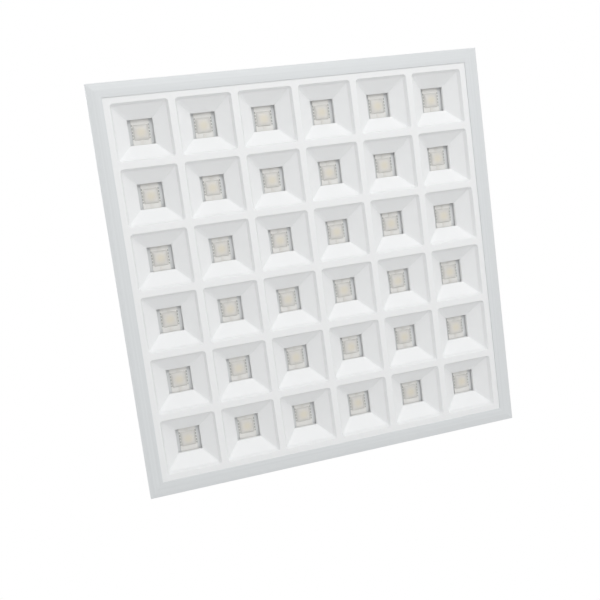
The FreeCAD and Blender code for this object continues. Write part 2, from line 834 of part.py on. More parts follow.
def driver_lid():
    """The folded lid of the wiring box, hinged along its rear edge."""
    body = new_body("driver_lid")
    thick = size("tray_sheet")
    rear = size("rivet_hole_gap") - tray_side
    inner_x = tray_end + size("lid_side_gap")
    inner_y = tray_side + size("lid_side_gap")
    outer_x, outer_y = inner_x + thick, inner_y + thick
    block(body, (-outer_x, rear, lid_low), (outer_x, outer_y, lid_high))
    skirt = new_sketch(body, offset=lid_low)
    polygon(skirt, [(-outer_x, rear), (-inner_x, rear), (-inner_x, inner_y), (inner_x, inner_y),
                    (inner_x, rear), (outer_x, rear), (outer_x, outer_y), (-outer_x, outer_y)])
    pad(body, skirt, size("lid_skirt"), reverse=True)
    tab = size("knuckle_length") / 2
    for step in LID_KNUCKLES:
        middle = knuckle_pitch * step
        block(body, (middle - tab, hinge_y, lid_low), (middle + tab, rear, lid_high))
    knuckles(body, LID_KNUCKLES, size("hinge_radius"),
             size("hinge_pin_radius") + size("hinge_running_gap"))
    drill(body, [(0.0, latch_y)], size("latch_shaft_radius") + size("rivet_hole_gap"), lid_low, lid_high)


def hinge_pin():
    body = new_body("hinge_pin")
    length = knuckle_pitch * 4 + size("knuckle_length") + 2 * size("hinge_pin_end")
    sketch = new_sketch(body, "YZ_Plane")
    circle(sketch, hinge_y, hinge_z, size("hinge_pin_radius"))
    pad(body, sketch, length, middle=True)
    head = new_sketch(body, "YZ_Plane", offset=length / 2)
    circle(head, hinge_y, hinge_z, size("hinge_pin_radius") * 1.8)
    pad(body, head, size("hinge_pin_radius"))


def lid_latch():
    """The quarter-turn latch: a slotted knob, its shaft and the cam under the lid."""
    body = new_body("lid_latch")
    middle = [(0.0, latch_y)]
    half_cam = size("latch_cam_width") / 2
    knob_low = lid_high + size("latch_gap")
    knob_high = knob_low + size("latch_knob_height")
    discs(body, middle, size("latch_shaft_radius"), cam_low, knob_low)
    discs(body, middle, size("latch_knob_radius"), knob_low, knob_high)
    block(body, (-half_cam, latch_y - half_cam, cam_low),
          (size("latch_cam_length"), latch_y + half_cam, cam_high))
    slot = new_sketch(body, offset=knob_high)
    reach, half_slot = size("latch_knob_radius") * 0.8, size("latch_slot") / 2
    rectangle(slot, -reach, latch_y - half_slot, reach, latch_y + half_slot)
    pocket(body, slot, size("latch_knob_height") / 2)


def cable_gland():
    """The cable inlet in the box's end wall: hexagonal collar, cap and threaded shank."""
    body = new_body("cable_gland")
    collar_x = -tray_end - size("gland_collar")
    cap_x = collar_x - size("gland_cap_length")
    collar = new_sketch(body, "YZ_Plane", offset=collar_x)
    hexagon(collar, as_size(0), gland_z, size("gland_flats"))
    pad(body, collar, size("gland_collar"))
    cap = new_sketch(body, "YZ_Plane", offset=cap_x)
    circle(cap, 0.0, gland_z, size("gland_cap_radius"))
    pad(body, cap, size("gland_cap_length"))
    shank = new_sketch(body, "YZ_Plane", offset=-tray_end)
    circle(shank, 0.0, gland_z, size("gland_thread_radius"))
    pad(body, shank, size("gland_shank"))
    bore = new_sketch(body, "YZ_Plane", offset=cap_x)
    circle(bore, 0.0, gland_z, size("gland_bore_radius"))
    pocket(body, bore, size("gland_shank") - cap_x - tray_end, reverse=True)


def gland_nut():
    body = new_body("gland_nut")
    nut = new_sketch(body, "YZ_Plane", offset=-tray_end_inside)
    hexagon(nut, as_size(0), gland_z, size("gland_flats"))
    circle(nut, 0.0, gland_z, size("gland_thread_radius") + size("hinge_running_gap"))
    pad(body, nut, size("gland_nut_length"))


def earth_stud():
    body = new_body("earth_stud")
    x, y = -tray_end + size("stud_from_end"), tray_side - size("stud_from_side")
    discs(body, [(x, y)], size("stud_radius"), tray_floor, tray_floor + size("stud_height"))
    sketch = new_sketch(body, offset=tray_floor)
    hexagon(sketch, x, y, size("stud_flats"))
    pad(body, sketch, size("stud_nut_height"))


block_low_x = -tray_end + size("block_from_wall")
block_high_x = block_low_x + size("block_length")
block_top = tray_floor + size("block_height")
lever_x = block_high_x - size("lever_pin_inset")
lever_z = block_top - size("lever_barrel_radius") - size("lever_top_gap")
poles = [size("pole_pitch") * step for step in (-1, 0, 1)]


def terminal_block():
    """The mains terminal block: three wire entries, each with its own lever."""
    body = new_body("terminal_block")
    side = size("block_width") / 2
    block(body, (block_low_x, -side, tray_floor), (block_high_x, side, block_top))
    slots = new_sketch(body, offset=block_top)
    slot_end = lever_x + size("lever_barrel_radius") + size("lever_end_gap")
    for y in poles:
        rectangle(slots, block_low_x, y - size("pole_slot") / 2, slot_end, y + size("pole_slot") / 2)
    pocket(body, slots, 2 * size("lever_barrel_radius") + size("lever_floor_gap"))
    pin = new_sketch(body, "XZ_Plane")
    circle(pin, lever_x, lever_z, size("lever_pin_radius") + size("hinge_running_gap"))
    pocket(body, pin, size("block_width") + CUT_MARGIN, middle=True)
    entries = new_sketch(body, "YZ_Plane", offset=block_low_x)
    for y in poles:
        circle(entries, y, tray_floor + 2 * size("wire_entry_radius"), size("wire_entry_radius"))
    pocket(body, entries, size("wire_entry_depth"), reverse=True)


def terminal_lever(label, y):
    body = new_body(label)
    sketch = new_sketch(body, "XZ_Plane", offset=-y)
    rectangle(sketch, lever_x - size("lever_length"), lever_z + size("lever_barrel_radius") - size("lever_thickness"),
              lever_x, lever_z + size("lever_barrel_radius"))
    pad(body, sketch, size("lever_width"), middle=True)
    barrel = new_sketch(body, "XZ_Plane", offset=-y)
    circle(barrel, lever_x, lever_z, size("lever_barrel_radius"))
    pad(body, barrel, size("lever_width"), middle=True)
    hole = new_sketch(body, "XZ_Plane", offset=-y)
    circle(hole, lever_x, lever_z, size("lever_pin_radius") + size("hinge_running_gap"))
    pocket(body, hole, size("lever_width") + CUT_MARGIN, middle=True)


def lever_axle():
    body = new_body("lever_axle")
    sketch = new_sketch(body, "XZ_Plane")
    circle(sketch, lever_x, lever_z, size("lever_pin_radius"))
    pad(body, sketch, size("block_width") - 2 * size("axle_recess"), middle=True)


def slide_switch():
    """The housing of the light-colour switch and the slider that shows in the wall's slot."""
    body = new_body("switch_body")
    rim = size("switch_wall")
    high = size("slider_block_height") / 2 + size("switch_gap")
    inside = tray_end_inside
    block(body, (inside - size("switch_depth"), -channel_half - rim, switch_z - high - rim),
          (inside, channel_half + rim, switch_z + high + rim))
    channel = new_sketch(body, "YZ_Plane", offset=inside)
    rectangle(channel, -channel_half, switch_z - high, channel_half, switch_z + high)
    pocket(body, channel, size("slider_block_depth") + 2 * size("switch_gap"))
    slider = new_body("switch_slider")
    face = inside - size("switch_gap")
    half_high = size("slider_block_height") / 2
    block(slider, (face - size("slider_block_depth"), slider_rest - slider_half, switch_z - half_high),
          (face, slider_rest + slider_half, switch_z + half_high))
    knob_half, knob_high = size("knob_length") / 2, size("knob_height") / 2
    block(slider, (face, slider_rest - knob_half, switch_z - knob_high),
          (tray_end + size("knob_out"), slider_rest + knob_half, switch_z + knob_high))


# ---- driver and wiring ------------------------------------------------------------

driver_low_x = -tray_end + size("driver_from_wall")
driver_high_x = driver_low_x + size("driver_length")
driver_side = size("driver_width") / 2
standoff_foot = tray_floor + size("sheet_thickness")
driver_low = standoff_foot + size("standoff_height")
driver_top = driver_low + size("driver_board")
standoff_places = [(x, (driver_side - size("standoff_inset")) * side) for side in (-1, 1)
                   for x in (driver_low_x + size("standoff_inset"), driver_high_x - size("standoff_inset"))]
transformer_x = (driver_low_x + lead_x) / 2 + size("core_leg")


def insulating_sheet():
    body = new_body("insulating_sheet")
    margin = size("sheet_margin")
    block(body, (driver_low_x - margin, -driver_side - margin / 2, tray_floor),
          (driver_high_x + margin, driver_side + margin / 2, standoff_foot))
    drill(body, [(lead_x, 0.0)], size("grommet_hole_radius") + margin, tray_floor, standoff_foot)


def pcb_standoffs():
    body = new_body("pcb_standoffs")
    snap = size("standoff_snap_radius")
    discs(body, standoff_places, size("standoff_radius"), standoff_foot, driver_low)
    discs(body, standoff_places, snap, driver_low, driver_top)
    discs(body, standoff_places, snap * 1.6, driver_top, driver_top + snap)


def driver_pcb():
    body = new_body("driver_pcb")
    block(body, (driver_low_x, -driver_side, driver_low), (driver_high_x, driver_side, driver_top))
    drill(body, standoff_places, size("standoff_snap_radius") + size("rivet_hole_gap"), driver_low, driver_top)


def transformer():
    """The driver's transformer: a ferrite core and the winding round its middle leg."""
    core = new_body("transformer_core")
    wide, high = size("core_length") / 2, size("core_height")
    yoke, leg = size("core_yoke"), size("core_leg") / 2
    sketch = new_sketch(core, "XZ_Plane")
    rectangle(sketch, transformer_x - wide, driver_top, transformer_x + wide, driver_top + high)
    for side in (-1, 1):
        near, far = transformer_x + leg * side, transformer_x + (wide - yoke) * side
        rectangle(sketch, near, driver_top + yoke, far, driver_top + high - yoke)
    pad(core, sketch, size("core_depth"), middle=True)
    winding = new_body("transformer_winding")
    gap, thick = size("winding_gap"), size("winding_thickness")
    sketch = new_sketch(winding, offset=driver_top + yoke + gap)
    for grow in (gap, gap + thick):
        side = size("core_depth") / 2 + grow
        rectangle(sketch, transformer_x - leg - grow, -side, transformer_x + leg + grow, side)
    pad(winding, sketch, high - 2 * yoke - 2 * gap)


def capacitors():
    body = new_body("capacitors")
    x = driver_high_x - size("capacitor_pitch")
    places = [(x, size("capacitor_pitch") * step) for step in (-1, 0, 1)]
    discs(body, places, size("capacitor_radius"), driver_top, driver_top + size("capacitor_height"))


def lead_grommet():
    """The rubber bush that guards the leads where they pass through both sheets."""
    body = new_body("lead_grommet")
    place = [(lead_x, 0.0)]
    hole = size("grommet_hole_radius")
    discs(body, place, hole - size("rivet_hole_gap"), pan_ceiling, tray_floor)
    discs(body, place, hole + size("grommet_flange"), tray_floor, tray_floor + size("grommet_flange"))
    drill(body, place, size("grommet_bore_radius"), pan_ceiling, tray_floor + size("grommet_flange"))


header_low_x = driver_low_x + size("header_inset")
connector_reach = size("board_width") / 2 - size("connector_margin")
connector_y = columns[-1] + size("board_end") - size("connector_inset")


def wire_connectors():
    """Plug blocks at the ends of the boards, and the driver's mains header."""
    body = new_body("wire_connectors")
    side = size("connector_side")
    sketch = new_sketch(body, offset=board_front)
    for left, right in zip(columns, columns[1:]):
        for low in (left + connector_reach - side, right - connector_reach):
            rectangle(sketch, low, connector_y - side / 2, low + side, connector_y + side / 2)
    pad(body, sketch, size("connector_height"), reverse=True)
    header = size("pole_pitch") + size("header_margin")
    block(body, (header_low_x, -header, driver_top),
          (header_low_x + size("header_length"), header, driver_top + size("header_height")))


def wiring():
    """The fixed leads: from board to board, terminals to driver, driver to boards."""
    body = new_body("wiring")
    lead = size("lead_radius")
    half_pitch = size("lead_pitch") / 2
    for left, right in zip(columns, columns[1:]):
        start = left + connector_reach
        sketch = new_sketch(body, "YZ_Plane", offset=start)
        for side in (-1, 1):
            circle(sketch, connector_y + half_pitch * side, board_front - size("connector_height") / 2, lead)
        pad(body, sketch, right - connector_reach - start)
    mains = new_sketch(body, "YZ_Plane", offset=block_high_x)
    for y in poles:
        circle(mains, y, driver_top + size("header_height") / 2, size("mains_lead_radius"))
    pad(body, mains, header_low_x - block_high_x)
    discs(body, [(lead_x - half_pitch / 2, 0.0), (lead_x + half_pitch / 2, 0.0)],
          lead * 0.9, pan_ceiling, driver_low)


# ---- the whole light --------------------------------------------------------------

for quarter, side_name in enumerate(("rear", "right", "front", "left")):
    frame_rail(f"frame_rail_{side_name}", quarter)
for quarter in range(4):
    corner_key(f"corner_key_{quarter + 1}", quarter)
louvre_grid()
for number, x in enumerate(columns, start=1):
    led_board(f"led_board_{number}", x)
    lens_strip(f"lens_strip_{number}", x)
led_chips()
back_pan()
screws("flange_screws", flange_screw_places, seat + size("pan_sheet"), size("screw_grip"))
screws("louvre_screws", louvre_screw_places, pan_top, size("screw_grip"))
screws("tray_screws", tray_screw_places, tray_floor, 2 * size("pan_sheet"))
rivets("board_rivets", board_rivet_places, board_front, pan_top)
rivets("bracket_rivets", bracket_rivet_places, pan_ceiling, pan_top + size("bracket_sheet"))
for number, (x, y) in enumerate(bracket_places, start=1):
    hanger_bracket(f"hanger_bracket_{number}", x, y)
for quarter in range(4):
    tbar_clip(f"tbar_clip_{quarter + 1}", quarter)
clip_rivets()
driver_tray()
driver_lid()
hinge_pin()
lid_latch()
cable_gland()
gland_nut()
earth_stud()
terminal_block()
lever_axle()
for number, y in enumerate(poles, start=1):
    terminal_lever(f"terminal_lever_{number}", y)
slide_switch()
insulating_sheet()
pcb_standoffs()
driver_pcb()
transformer()
capacitors()
lead_grommet()
wire_connectors()
wiring()
doc.recompute()

pieces = [item for item in doc.Objects
          if item.TypeId == "PartDesign::Body" or item.Label == "louvre_grid"]
for item in doc.Objects:
    if {"Invalid", "Error"} & set(item.State):
        raise RuntimeError(f"{item.Label} did not rebuild: {item.State}")
for piece in pieces:
    if piece.Shape.isNull() or not piece.Shape.isValid() or not piece.Shape.Solids:
        raise RuntimeError(f"{piece.Label} is not a valid solid")

os.makedirs("parts", exist_ok=True)
for piece in pieces:
    piece.Shape.exportStep(f"parts/{piece.Label}.step")
    box = piece.Shape.BoundBox
    print(f"{piece.Label:22s} {len(piece.Shape.Solids):3d} solids {piece.Shape.Volume:12.1f} mm3"
          f"  z {box.ZMin:7.2f} to {box.ZMax:7.2f}")
print(len(pieces), "pieces")
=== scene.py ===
"""A recessed troffer light: its looks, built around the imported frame.

Metres, in the frame's own axes: the light shines towards -Z, the rim's room-side
face is z = 0, +X is the photograph's right and +Y is its bottom.
"""

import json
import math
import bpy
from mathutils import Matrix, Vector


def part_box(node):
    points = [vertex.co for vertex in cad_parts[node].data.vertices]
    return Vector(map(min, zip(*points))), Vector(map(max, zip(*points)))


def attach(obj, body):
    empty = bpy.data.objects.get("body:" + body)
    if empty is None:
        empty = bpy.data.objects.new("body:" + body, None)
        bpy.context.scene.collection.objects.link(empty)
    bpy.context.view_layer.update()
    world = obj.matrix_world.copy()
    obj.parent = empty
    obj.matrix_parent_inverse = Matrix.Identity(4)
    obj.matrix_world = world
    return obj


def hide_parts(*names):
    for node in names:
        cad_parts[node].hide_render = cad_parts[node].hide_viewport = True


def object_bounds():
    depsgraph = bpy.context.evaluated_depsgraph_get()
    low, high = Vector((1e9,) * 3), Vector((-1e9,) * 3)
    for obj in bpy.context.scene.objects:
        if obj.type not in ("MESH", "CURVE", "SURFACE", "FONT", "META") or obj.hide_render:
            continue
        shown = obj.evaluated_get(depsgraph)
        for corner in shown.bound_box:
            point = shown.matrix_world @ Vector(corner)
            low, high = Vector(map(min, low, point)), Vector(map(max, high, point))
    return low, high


bl_info = {
    "name": "Recessed troffer light",
    "version": (1, 0, 0),
    "blender": (4, 5, 0),
    "location": "View3D > Sidebar > Troffer",
    "description": "Models and finishes a lay-in ceiling light with thirty-six deep cells",
    "category": "Add Mesh",
}

import bmesh
import bpy
from bpy.props import FloatProperty, FloatVectorProperty, PointerProperty
from mathutils import Matrix, Vector

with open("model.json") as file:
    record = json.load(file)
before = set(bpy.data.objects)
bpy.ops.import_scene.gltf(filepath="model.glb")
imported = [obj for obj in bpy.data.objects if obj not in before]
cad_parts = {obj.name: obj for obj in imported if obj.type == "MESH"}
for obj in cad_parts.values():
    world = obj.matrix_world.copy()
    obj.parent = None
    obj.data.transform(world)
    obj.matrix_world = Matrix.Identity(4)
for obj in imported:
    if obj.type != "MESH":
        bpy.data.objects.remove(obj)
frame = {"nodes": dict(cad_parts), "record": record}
cad_low, cad_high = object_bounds()

MM = 0.001
CELLS = 6
PITCH = 91.0 * MM
COLUMNS = [PITCH * (index - (CELLS - 1) / 2) for index in range(CELLS)]
ACROSS_X, ACROSS_Y = Matrix.Rotation(math.pi / 2, 4, "Y"), Matrix.Rotation(-math.pi / 2, 4, "X")
BMVert, BMEdge, BMFace = bmesh.types.BMVert, bmesh.types.BMEdge, bmesh.types.BMFace

# the CAD's levels above the rim's room-side face, in mm
LOUVRE_FACE, RAIL_TOP, FLANGE_TOP, NECK_END, BOARD_FACE, PAN_TOP = 1.5, 10.0, 10.8, 28.4, 30.4, 32.8
BOX_FLOOR, FOOT_TOP, DRIVER_DECK, LID_TOP = 33.6, 34.0, 40.6, 61.9
# the lid's hinge line, the latch and the gland's axis, in mm
HINGE_Y, HINGE_Z, LATCH_Y, GLAND_Z = -48.6, 61.5, 34.0, 46.2
# how far the hangers and the clips stand from the middle, in mm
HANGER_X, HANGER_Y, CLIP_X = 262.0, 200.0, 268.0
CORNERS = [(i, j) for i in (-1, 1) for j in (-1, 1)]

FINISHES = {}


def linear(hex_colour):
    """Turns an sRGB hex value into the linear colour that a shader reads."""
    parts = [int(hex_colour[at:at + 2], 16) / 255 for at in (1, 3, 5)]
    return tuple(part / 12.92 if part <= 0.04045 else ((part + 0.055) / 1.055) ** 2.4 for part in parts)


# ---- sizes and colours a user would change ----------------------------------------

def length(name, description, millimetres):
    """A length that a user gives in scene units, with its default in mm."""
    return FloatProperty(name=name, description=description, default=millimetres * MM,
                         unit="LENGTH", subtype="DISTANCE", precision=4)


def colour(name, description, hex_colour):
    """A colour, with its default as an sRGB hex value."""
    return FloatVectorProperty(name=name, description=description, default=linear(hex_colour),
                               size=3, min=0.0, max=1.0, subtype="COLOR")


class TrofferShape(bpy.types.PropertyGroup):
    flange_width: length("Flange width", "Width of the flat rim that the ceiling's bars carry", 20.5)
    edge_round: length("Edge rounding", "Rounding of the extruded rim's edges", 0.35)
    mouth_half: length("Cell mouth", "Half the side of a cell's mouth", 40.5)
    mouth_corner: length("Mouth corner", "Corner radius of a cell's mouth", 4.5)
    lip_depth: length("Lip depth", "Height of the steep lip round each mouth", 6.4)
    lip_draft: length("Lip draft", "How far the steep lip leans in", 2.4)
    window_half: length("Window", "Half the side of the window at a cell's bottom", 18.25)
    cell_depth: length("Cell depth", "Depth of a cell from the louvre's face to its window", 22.0)
    wall: length("Moulded wall", "Wall thickness of the louvre", 1.8)
    lens_half: length("Lens", "Half the side of a lens", 11.0)


class TrofferColours(bpy.types.PropertyGroup):
    rim: colour("Rim", "Satin paint on the extruded rim", "#E0E3E5")
    louvre: colour("Louvre", "White moulded plastic", "#F4F5F6")
    pan: colour("Pan", "Pale powder coat on the pan's back and the box", "#DADDDF")
    # the inner face's white is partly painted light, lifting the shade inside the pan
    inside: colour("Pan inside", "White powder coat on the pan's inner face", "#ECEEEF")
    lens: colour("Lens", "Frosted lens, unlit", "#EBE9E5")
    # the lens middle's colour is painted light: the phosphor's yellow as if seen blurred through the frosted lens
    painted_glow_tint: colour("Lens middle", "Frosted lens over the yellow light source", "#EDE7D8")
    phosphor: colour("Phosphor", "Yellow phosphor of the light sources", "#E8B94E")
    floor: colour("Floor", "Plain pale floor", "#F4F4F3")


class TrofferStage(bpy.types.PropertyGroup):
    focal_length: FloatProperty(name="Focal length", description="Camera lens in millimetres on a 36 mm sensor",
                                default=51.0, min=10.0, unit="CAMERA")
    key_power: FloatProperty(name="Key power", description="Power of the main soft lamp", default=25.0, unit="POWER")
    fill_power: FloatProperty(name="Fill power", description="Power of the soft lamp in front of the grid",
                              default=24.0, unit="POWER")
    top_power: FloatProperty(name="Top power", description="Power of the soft lamp above the pan", default=36.0,
                             unit="POWER")
    ambient: FloatProperty(name="Ambient", description="Strength of the white surroundings on the object",
                           default=0.65, min=0.0)
    floor_drop: length("Floor drop", "How far the floor lies under the light", 2400.0)


# ---- mesh helpers -----------------------------------------------------------------

def only(kind, geom):
    """The vertices, edges or faces among what an operator made."""
    return [item for item in geom if isinstance(item, kind)]


def mm_levels(levels):
    """Turns levels in mm into the metres that stack takes."""
    return [tuple(value * MM for value in level) for level in levels]


def rectangle(bm, middle, half_x, half_y, z):
    """Adds one flat face and returns its vertices."""
    made = bmesh.ops.create_grid(bm, x_segments=1, y_segments=1, size=1.0)["verts"]
    bmesh.ops.scale(bm, vec=(half_x, half_y, 1.0), verts=made)
    bmesh.ops.translate(bm, vec=(middle[0], middle[1], z), verts=made)
    return made


def round_off(bm, geom, offset, segments, affect="VERTICES"):
    """Rounds vertices or edges off and returns the new vertices."""
    return bmesh.ops.bevel(bm, geom=geom, offset=offset, offset_type="OFFSET", affect=affect, segments=segments,
                           profile=0.5, material=-1)["verts"]


def stack(bm, middle, levels, segments=4, ends=True):
    """Grows a closed form from one rounded outline to the next.

    A level is (half x, half y, corner radius, z), or (half side, corner radius, z) for a square.
    """
    levels = [(level[0], *level[-3:]) for level in levels]
    half_x, half_y, radius, z = levels[0]
    corners = rectangle(bm, middle, half_x, half_y, z)
    if radius > 0:
        corners = round_off(bm, corners, radius, segments)
    face = base = corners[0].link_faces[0]
    for new_x, new_y, new_radius, new_z in levels[1:]:
        grown = bmesh.ops.extrude_face_region(bm, geom=[face])["geom"]
        if face is not base:
            bmesh.ops.delete(bm, geom=[face], context="FACES_ONLY")
        face = only(BMFace, grown)[0]
        for vertex in face.verts:
            east = math.copysign(1.0, vertex.co.x - middle[0])
            north = math.copysign(1.0, vertex.co.y - middle[1])
            corner = Vector((middle[0] + east * (half_x - radius), middle[1] + north * (half_y - radius)))
            way = (vertex.co.xy - corner) / radius if radius > 0 else Vector((0.0, 0.0))
            vertex.co = (middle[0] + east * (new_x - new_radius) + way.x * new_radius,
                         middle[1] + north * (new_y - new_radius) + way.y * new_radius, new_z)
        half_x, half_y, radius = new_x, new_y, new_radius
    if not ends:
        bmesh.ops.delete(bm, geom=[base, face], context="FACES_ONLY")


def lathe(bm, middle, profile, steps=24, matrix=None):
    """Spins (radius, height) points in mm round an upright axis, or round the one that the matrix turns it to."""
    verts = [bm.verts.new((radius * MM, 0.0, height * MM)) for radius, height in profile]
    edges = [bm.edges.new(pair) for pair in zip(verts, verts[1:])]
    if profile[0][0] > 0 and profile[-1][0] > 0:
        edges.append(bm.edges.new((verts[-1], verts[0])))
    before = set(bm.verts) - set(verts)
    bmesh.ops.spin(bm, geom=verts + edges, cent=(0, 0, 0), axis=(0, 0, 1), dvec=(0, 0, 0),
                   angle=2 * math.pi, steps=steps, use_merge=True, use_duplicate=False)
    made = [vertex for vertex in bm.verts if vertex not in before]
    bmesh.ops.remove_doubles(bm, verts=made, dist=1e-6)
    made = [vertex for vertex in bm.verts if vertex not in before]
    if matrix is not None:
        bmesh.ops.transform(bm, matrix=matrix, verts=made)
    bmesh.ops.translate(bm, vec=middle, verts=made)
    return made


def fill_between(bm, loops):
    """Fills a flat upward face between outlines at one height, round the inner ones."""
    rims = []
    for loop in loops:
        members = set(loop)
        rims += [edge for vertex in loop for edge in vertex.link_edges
                 if edge.other_vert(vertex) in members and len(edge.link_faces) < 2]
    bmesh.ops.triangle_fill(bm, use_beauty=True, edges=list(dict.fromkeys(rims)), normal=(0, 0, 1))


def box(bm, low, high):
    """Adds a box between two corners."""
    made = bmesh.ops.create_cube(bm, size=1.0)["verts"]
    low, high = Vector(low), Vector(high)
    bmesh.ops.scale(bm, vec=high - low, verts=made)
    bmesh.ops.translate(bm, vec=(low + high) / 2, verts=made)


def face_up(bm):
    """Turns an open sheet's faces so that its highest one looks up."""
    bmesh.ops.recalc_face_normals(bm, faces=bm.faces[:])
    if max(bm.faces, key=lambda face: face.calc_center_median().z).normal.z < 0:
        bmesh.ops.reverse_faces(bm, faces=bm.faces[:])


def finish_piece(name, bm, slot, replaced=(), body="housing", sharp=35.0, recalculate=True):
    """Turns a bmesh into a piece in its place, with its finish, its body and the nodes it stands for."""
    if recalculate:
        bmesh.ops.recalc_face_normals(bm, faces=bm.faces[:])
    mesh = bpy.data.meshes.new(name)
    bm.to_mesh(mesh)
    bm.free()
    mesh.shade_smooth()
    mesh.set_sharp_from_angle(angle=math.radians(sharp))
    mesh.materials.append(FINISHES[slot])
    piece = bpy.data.objects.new(name, mesh)
    bpy.context.scene.collection.objects.link(piece)
    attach(piece, body)
    if replaced:
        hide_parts(*replaced)
    return piece


def soften(piece, width, segments=2):
    """Rounds a piece's sharp edges by a width in mm."""
    bevel = piece.modifiers.new("Rounding", "BEVEL")
    bevel.width = width * MM
    bevel.segments = segments
    bevel.limit_method = "ANGLE"
    bevel.angle_limit = math.radians(30.0)
    bevel.harden_normals = False


def weigh_normals(piece):
    """Keeps a large flat face evenly shaded beside the small roundings at its edges."""
    weighted = piece.modifiers.new("Shading", "WEIGHTED_NORMAL")
    weighted.mode = "FACE_AREA"
    weighted.keep_sharp = True


def give_thickness(piece, thickness):
    """Makes a sheet solid by a thickness in mm, behind the side that its faces look to."""
    solid = piece.modifiers.new("Thickness", "SOLIDIFY")
    solid.thickness = thickness * MM
    solid.offset = -1.0
    solid.use_even_offset = True


def copy_of(node):
    """A merged copy of a node's mesh, with its flat faces joined."""
    bm = bmesh.new()
    bm.from_mesh(frame["nodes"][node].data)
    bmesh.ops.remove_doubles(bm, verts=bm.verts[:], dist=2e-6)
    bmesh.ops.dissolve_limit(bm, angle_limit=math.radians(0.5), verts=bm.verts[:], edges=bm.edges[:])
    return bm


def softened_copy(name, node, slot, width, body="housing"):
    """Makes a node's own shape a piece, with its edges rounded by a width in mm."""
    soften(finish_piece(name, copy_of(node), slot, [node], body, recalculate=False), width)


# ---- material helpers -------------------------------------------------------------

def output_of(source):
    """An output, or a node's first one."""
    return source.outputs[0] if isinstance(source, bpy.types.Node) else source


def add_node(tree, kind, settings=None, links=None):
    """Adds a node, sets its properties and socket values, and links its sockets to outputs or nodes."""
    node = tree.nodes.new(kind)
    for key, value in (settings or {}).items():
        if isinstance(key, str) and hasattr(node, key):
            setattr(node, key, value)
        else:
            node.inputs[key].default_value = value
    for key, source in (links or {}).items():
        tree.links.new(output_of(source), node.inputs[key])
    return node


def new_material(name, rgb, roughness, metallic=0.0, **sockets):
    """Starts a material: its tree, its shader and its object coordinates."""
    material = bpy.data.materials.new(name)
    material.use_nodes = True
    tree = material.node_tree
    shader = tree.nodes["Principled BSDF"]
    shader.inputs["Base Color"].default_value = (*rgb, 1.0)
    shader.inputs["Roughness"].default_value = roughness
    shader.inputs["Metallic"].default_value = metallic
    for key, value in sockets.items():
        shader.inputs[key.replace("_", " ")].default_value = value
    place = add_node(tree, "ShaderNodeTexCoord").outputs["Object"]
    return material, tree, shader, place


def plug_in(tree, shader, **sources):
    """Links outputs or nodes to the shader's sockets."""
    for key, source in sources.items():
        tree.links.new(output_of(source), shader.inputs[key.replace("_", " ")])


def grained(name, rgb, roughness, grain_mm, bump_mm, spread=0.06, metallic=0.0, detail=3.0, **sockets):
    """A finish whose colour, gloss and surface vary with one grain of a real size."""
    material, tree, shader, place = new_material(name, rgb, roughness, metallic, **sockets)
    grain = add_node(tree, "ShaderNodeTexNoise", {"Scale": 1.0 / (grain_mm * MM), "Detail": detail},
                     {"Vector": place})
    patch = add_node(tree, "ShaderNodeTexNoise", {"Scale": 1.0 / (60.0 * MM), "Detail": 2.0}, {"Vector": place})
    tone = add_node(tree, "ShaderNodeMix", {"data_type": "RGBA", "blend_type": "MIX", 6: (*rgb, 1.0),
                                           7: (*[part * (1 - spread) for part in rgb], 1.0)},
                    {0: patch})
    gloss = add_node(tree, "ShaderNodeMapRange", {"From Min": 0.3, "From Max": 0.7,
                                                  "To Min": roughness * 0.88, "To Max": min(1.0, roughness * 1.12)},
                     {"Value": grain})
    bump = add_node(tree, "ShaderNodeBump", {"Strength": 1.0, "Distance": bump_mm * MM}, {"Height": grain})
    plug_in(tree, shader, Base_Color=tone.outputs[2], Roughness=gloss, Normal=bump)
    return material


def satin_extrusion(rgb):
    """Satin painted aluminium extrusion: the die leaves fine lines along its length, which read as long faint
    streaks."""
    material, tree, shader, _ = new_material("satin painted extrusion", rgb, 0.42)
    along = add_node(tree, "ShaderNodeUVMap", {"uv_map": "along"})
    # die lines are about 0.5 mm apart and metres long; drawn 3 mm apart so that they show
    stretch = add_node(tree, "ShaderNodeMapping", {"Scale": (1.6, 330.0, 1.0)}, {"Vector": along})
    lines = add_node(tree, "ShaderNodeTexNoise", {"Scale": 1.0, "Detail": 4.0, "Roughness": 0.6},
                     {"Vector": stretch})
    tone = add_node(tree, "ShaderNodeMapRange", {"From Min": 0.3, "From Max": 0.7, "To Min": 0.965, "To Max": 1.03},
                    {"Value": lines})
    shade = add_node(tree, "ShaderNodeVectorMath", {"operation": "SCALE", 0: rgb}, {"Scale": tone})
    gloss = add_node(tree, "ShaderNodeMapRange", {"From Min": 0.3, "From Max": 0.7, "To Min": 0.36, "To Max": 0.5},
                     {"Value": lines})
    bump = add_node(tree, "ShaderNodeBump", {"Strength": 0.6, "Distance": 0.05 * MM}, {"Height": lines})
    plug_in(tree, shader, Base_Color=shade, Roughness=gloss, Normal=bump)
    return material


def from_lens_centre(tree, place):
    """Where a point lies from its own cell's lens, the lenses being one cell pitch apart both ways."""
    moved = add_node(tree, "ShaderNodeVectorMath",
                     {"operation": "ADD", 1: (CELLS * PITCH / 2, CELLS * PITCH / 2, 0.0)}, {0: place})
    cell = add_node(tree, "ShaderNodeVectorMath", {"operation": "MODULO", 1: (PITCH, PITCH, 1.0)}, {0: moved})
    return add_node(tree, "ShaderNodeVectorMath", {"operation": "SUBTRACT", 1: (PITCH / 2, PITCH / 2, 0.0)},
                    {0: cell})


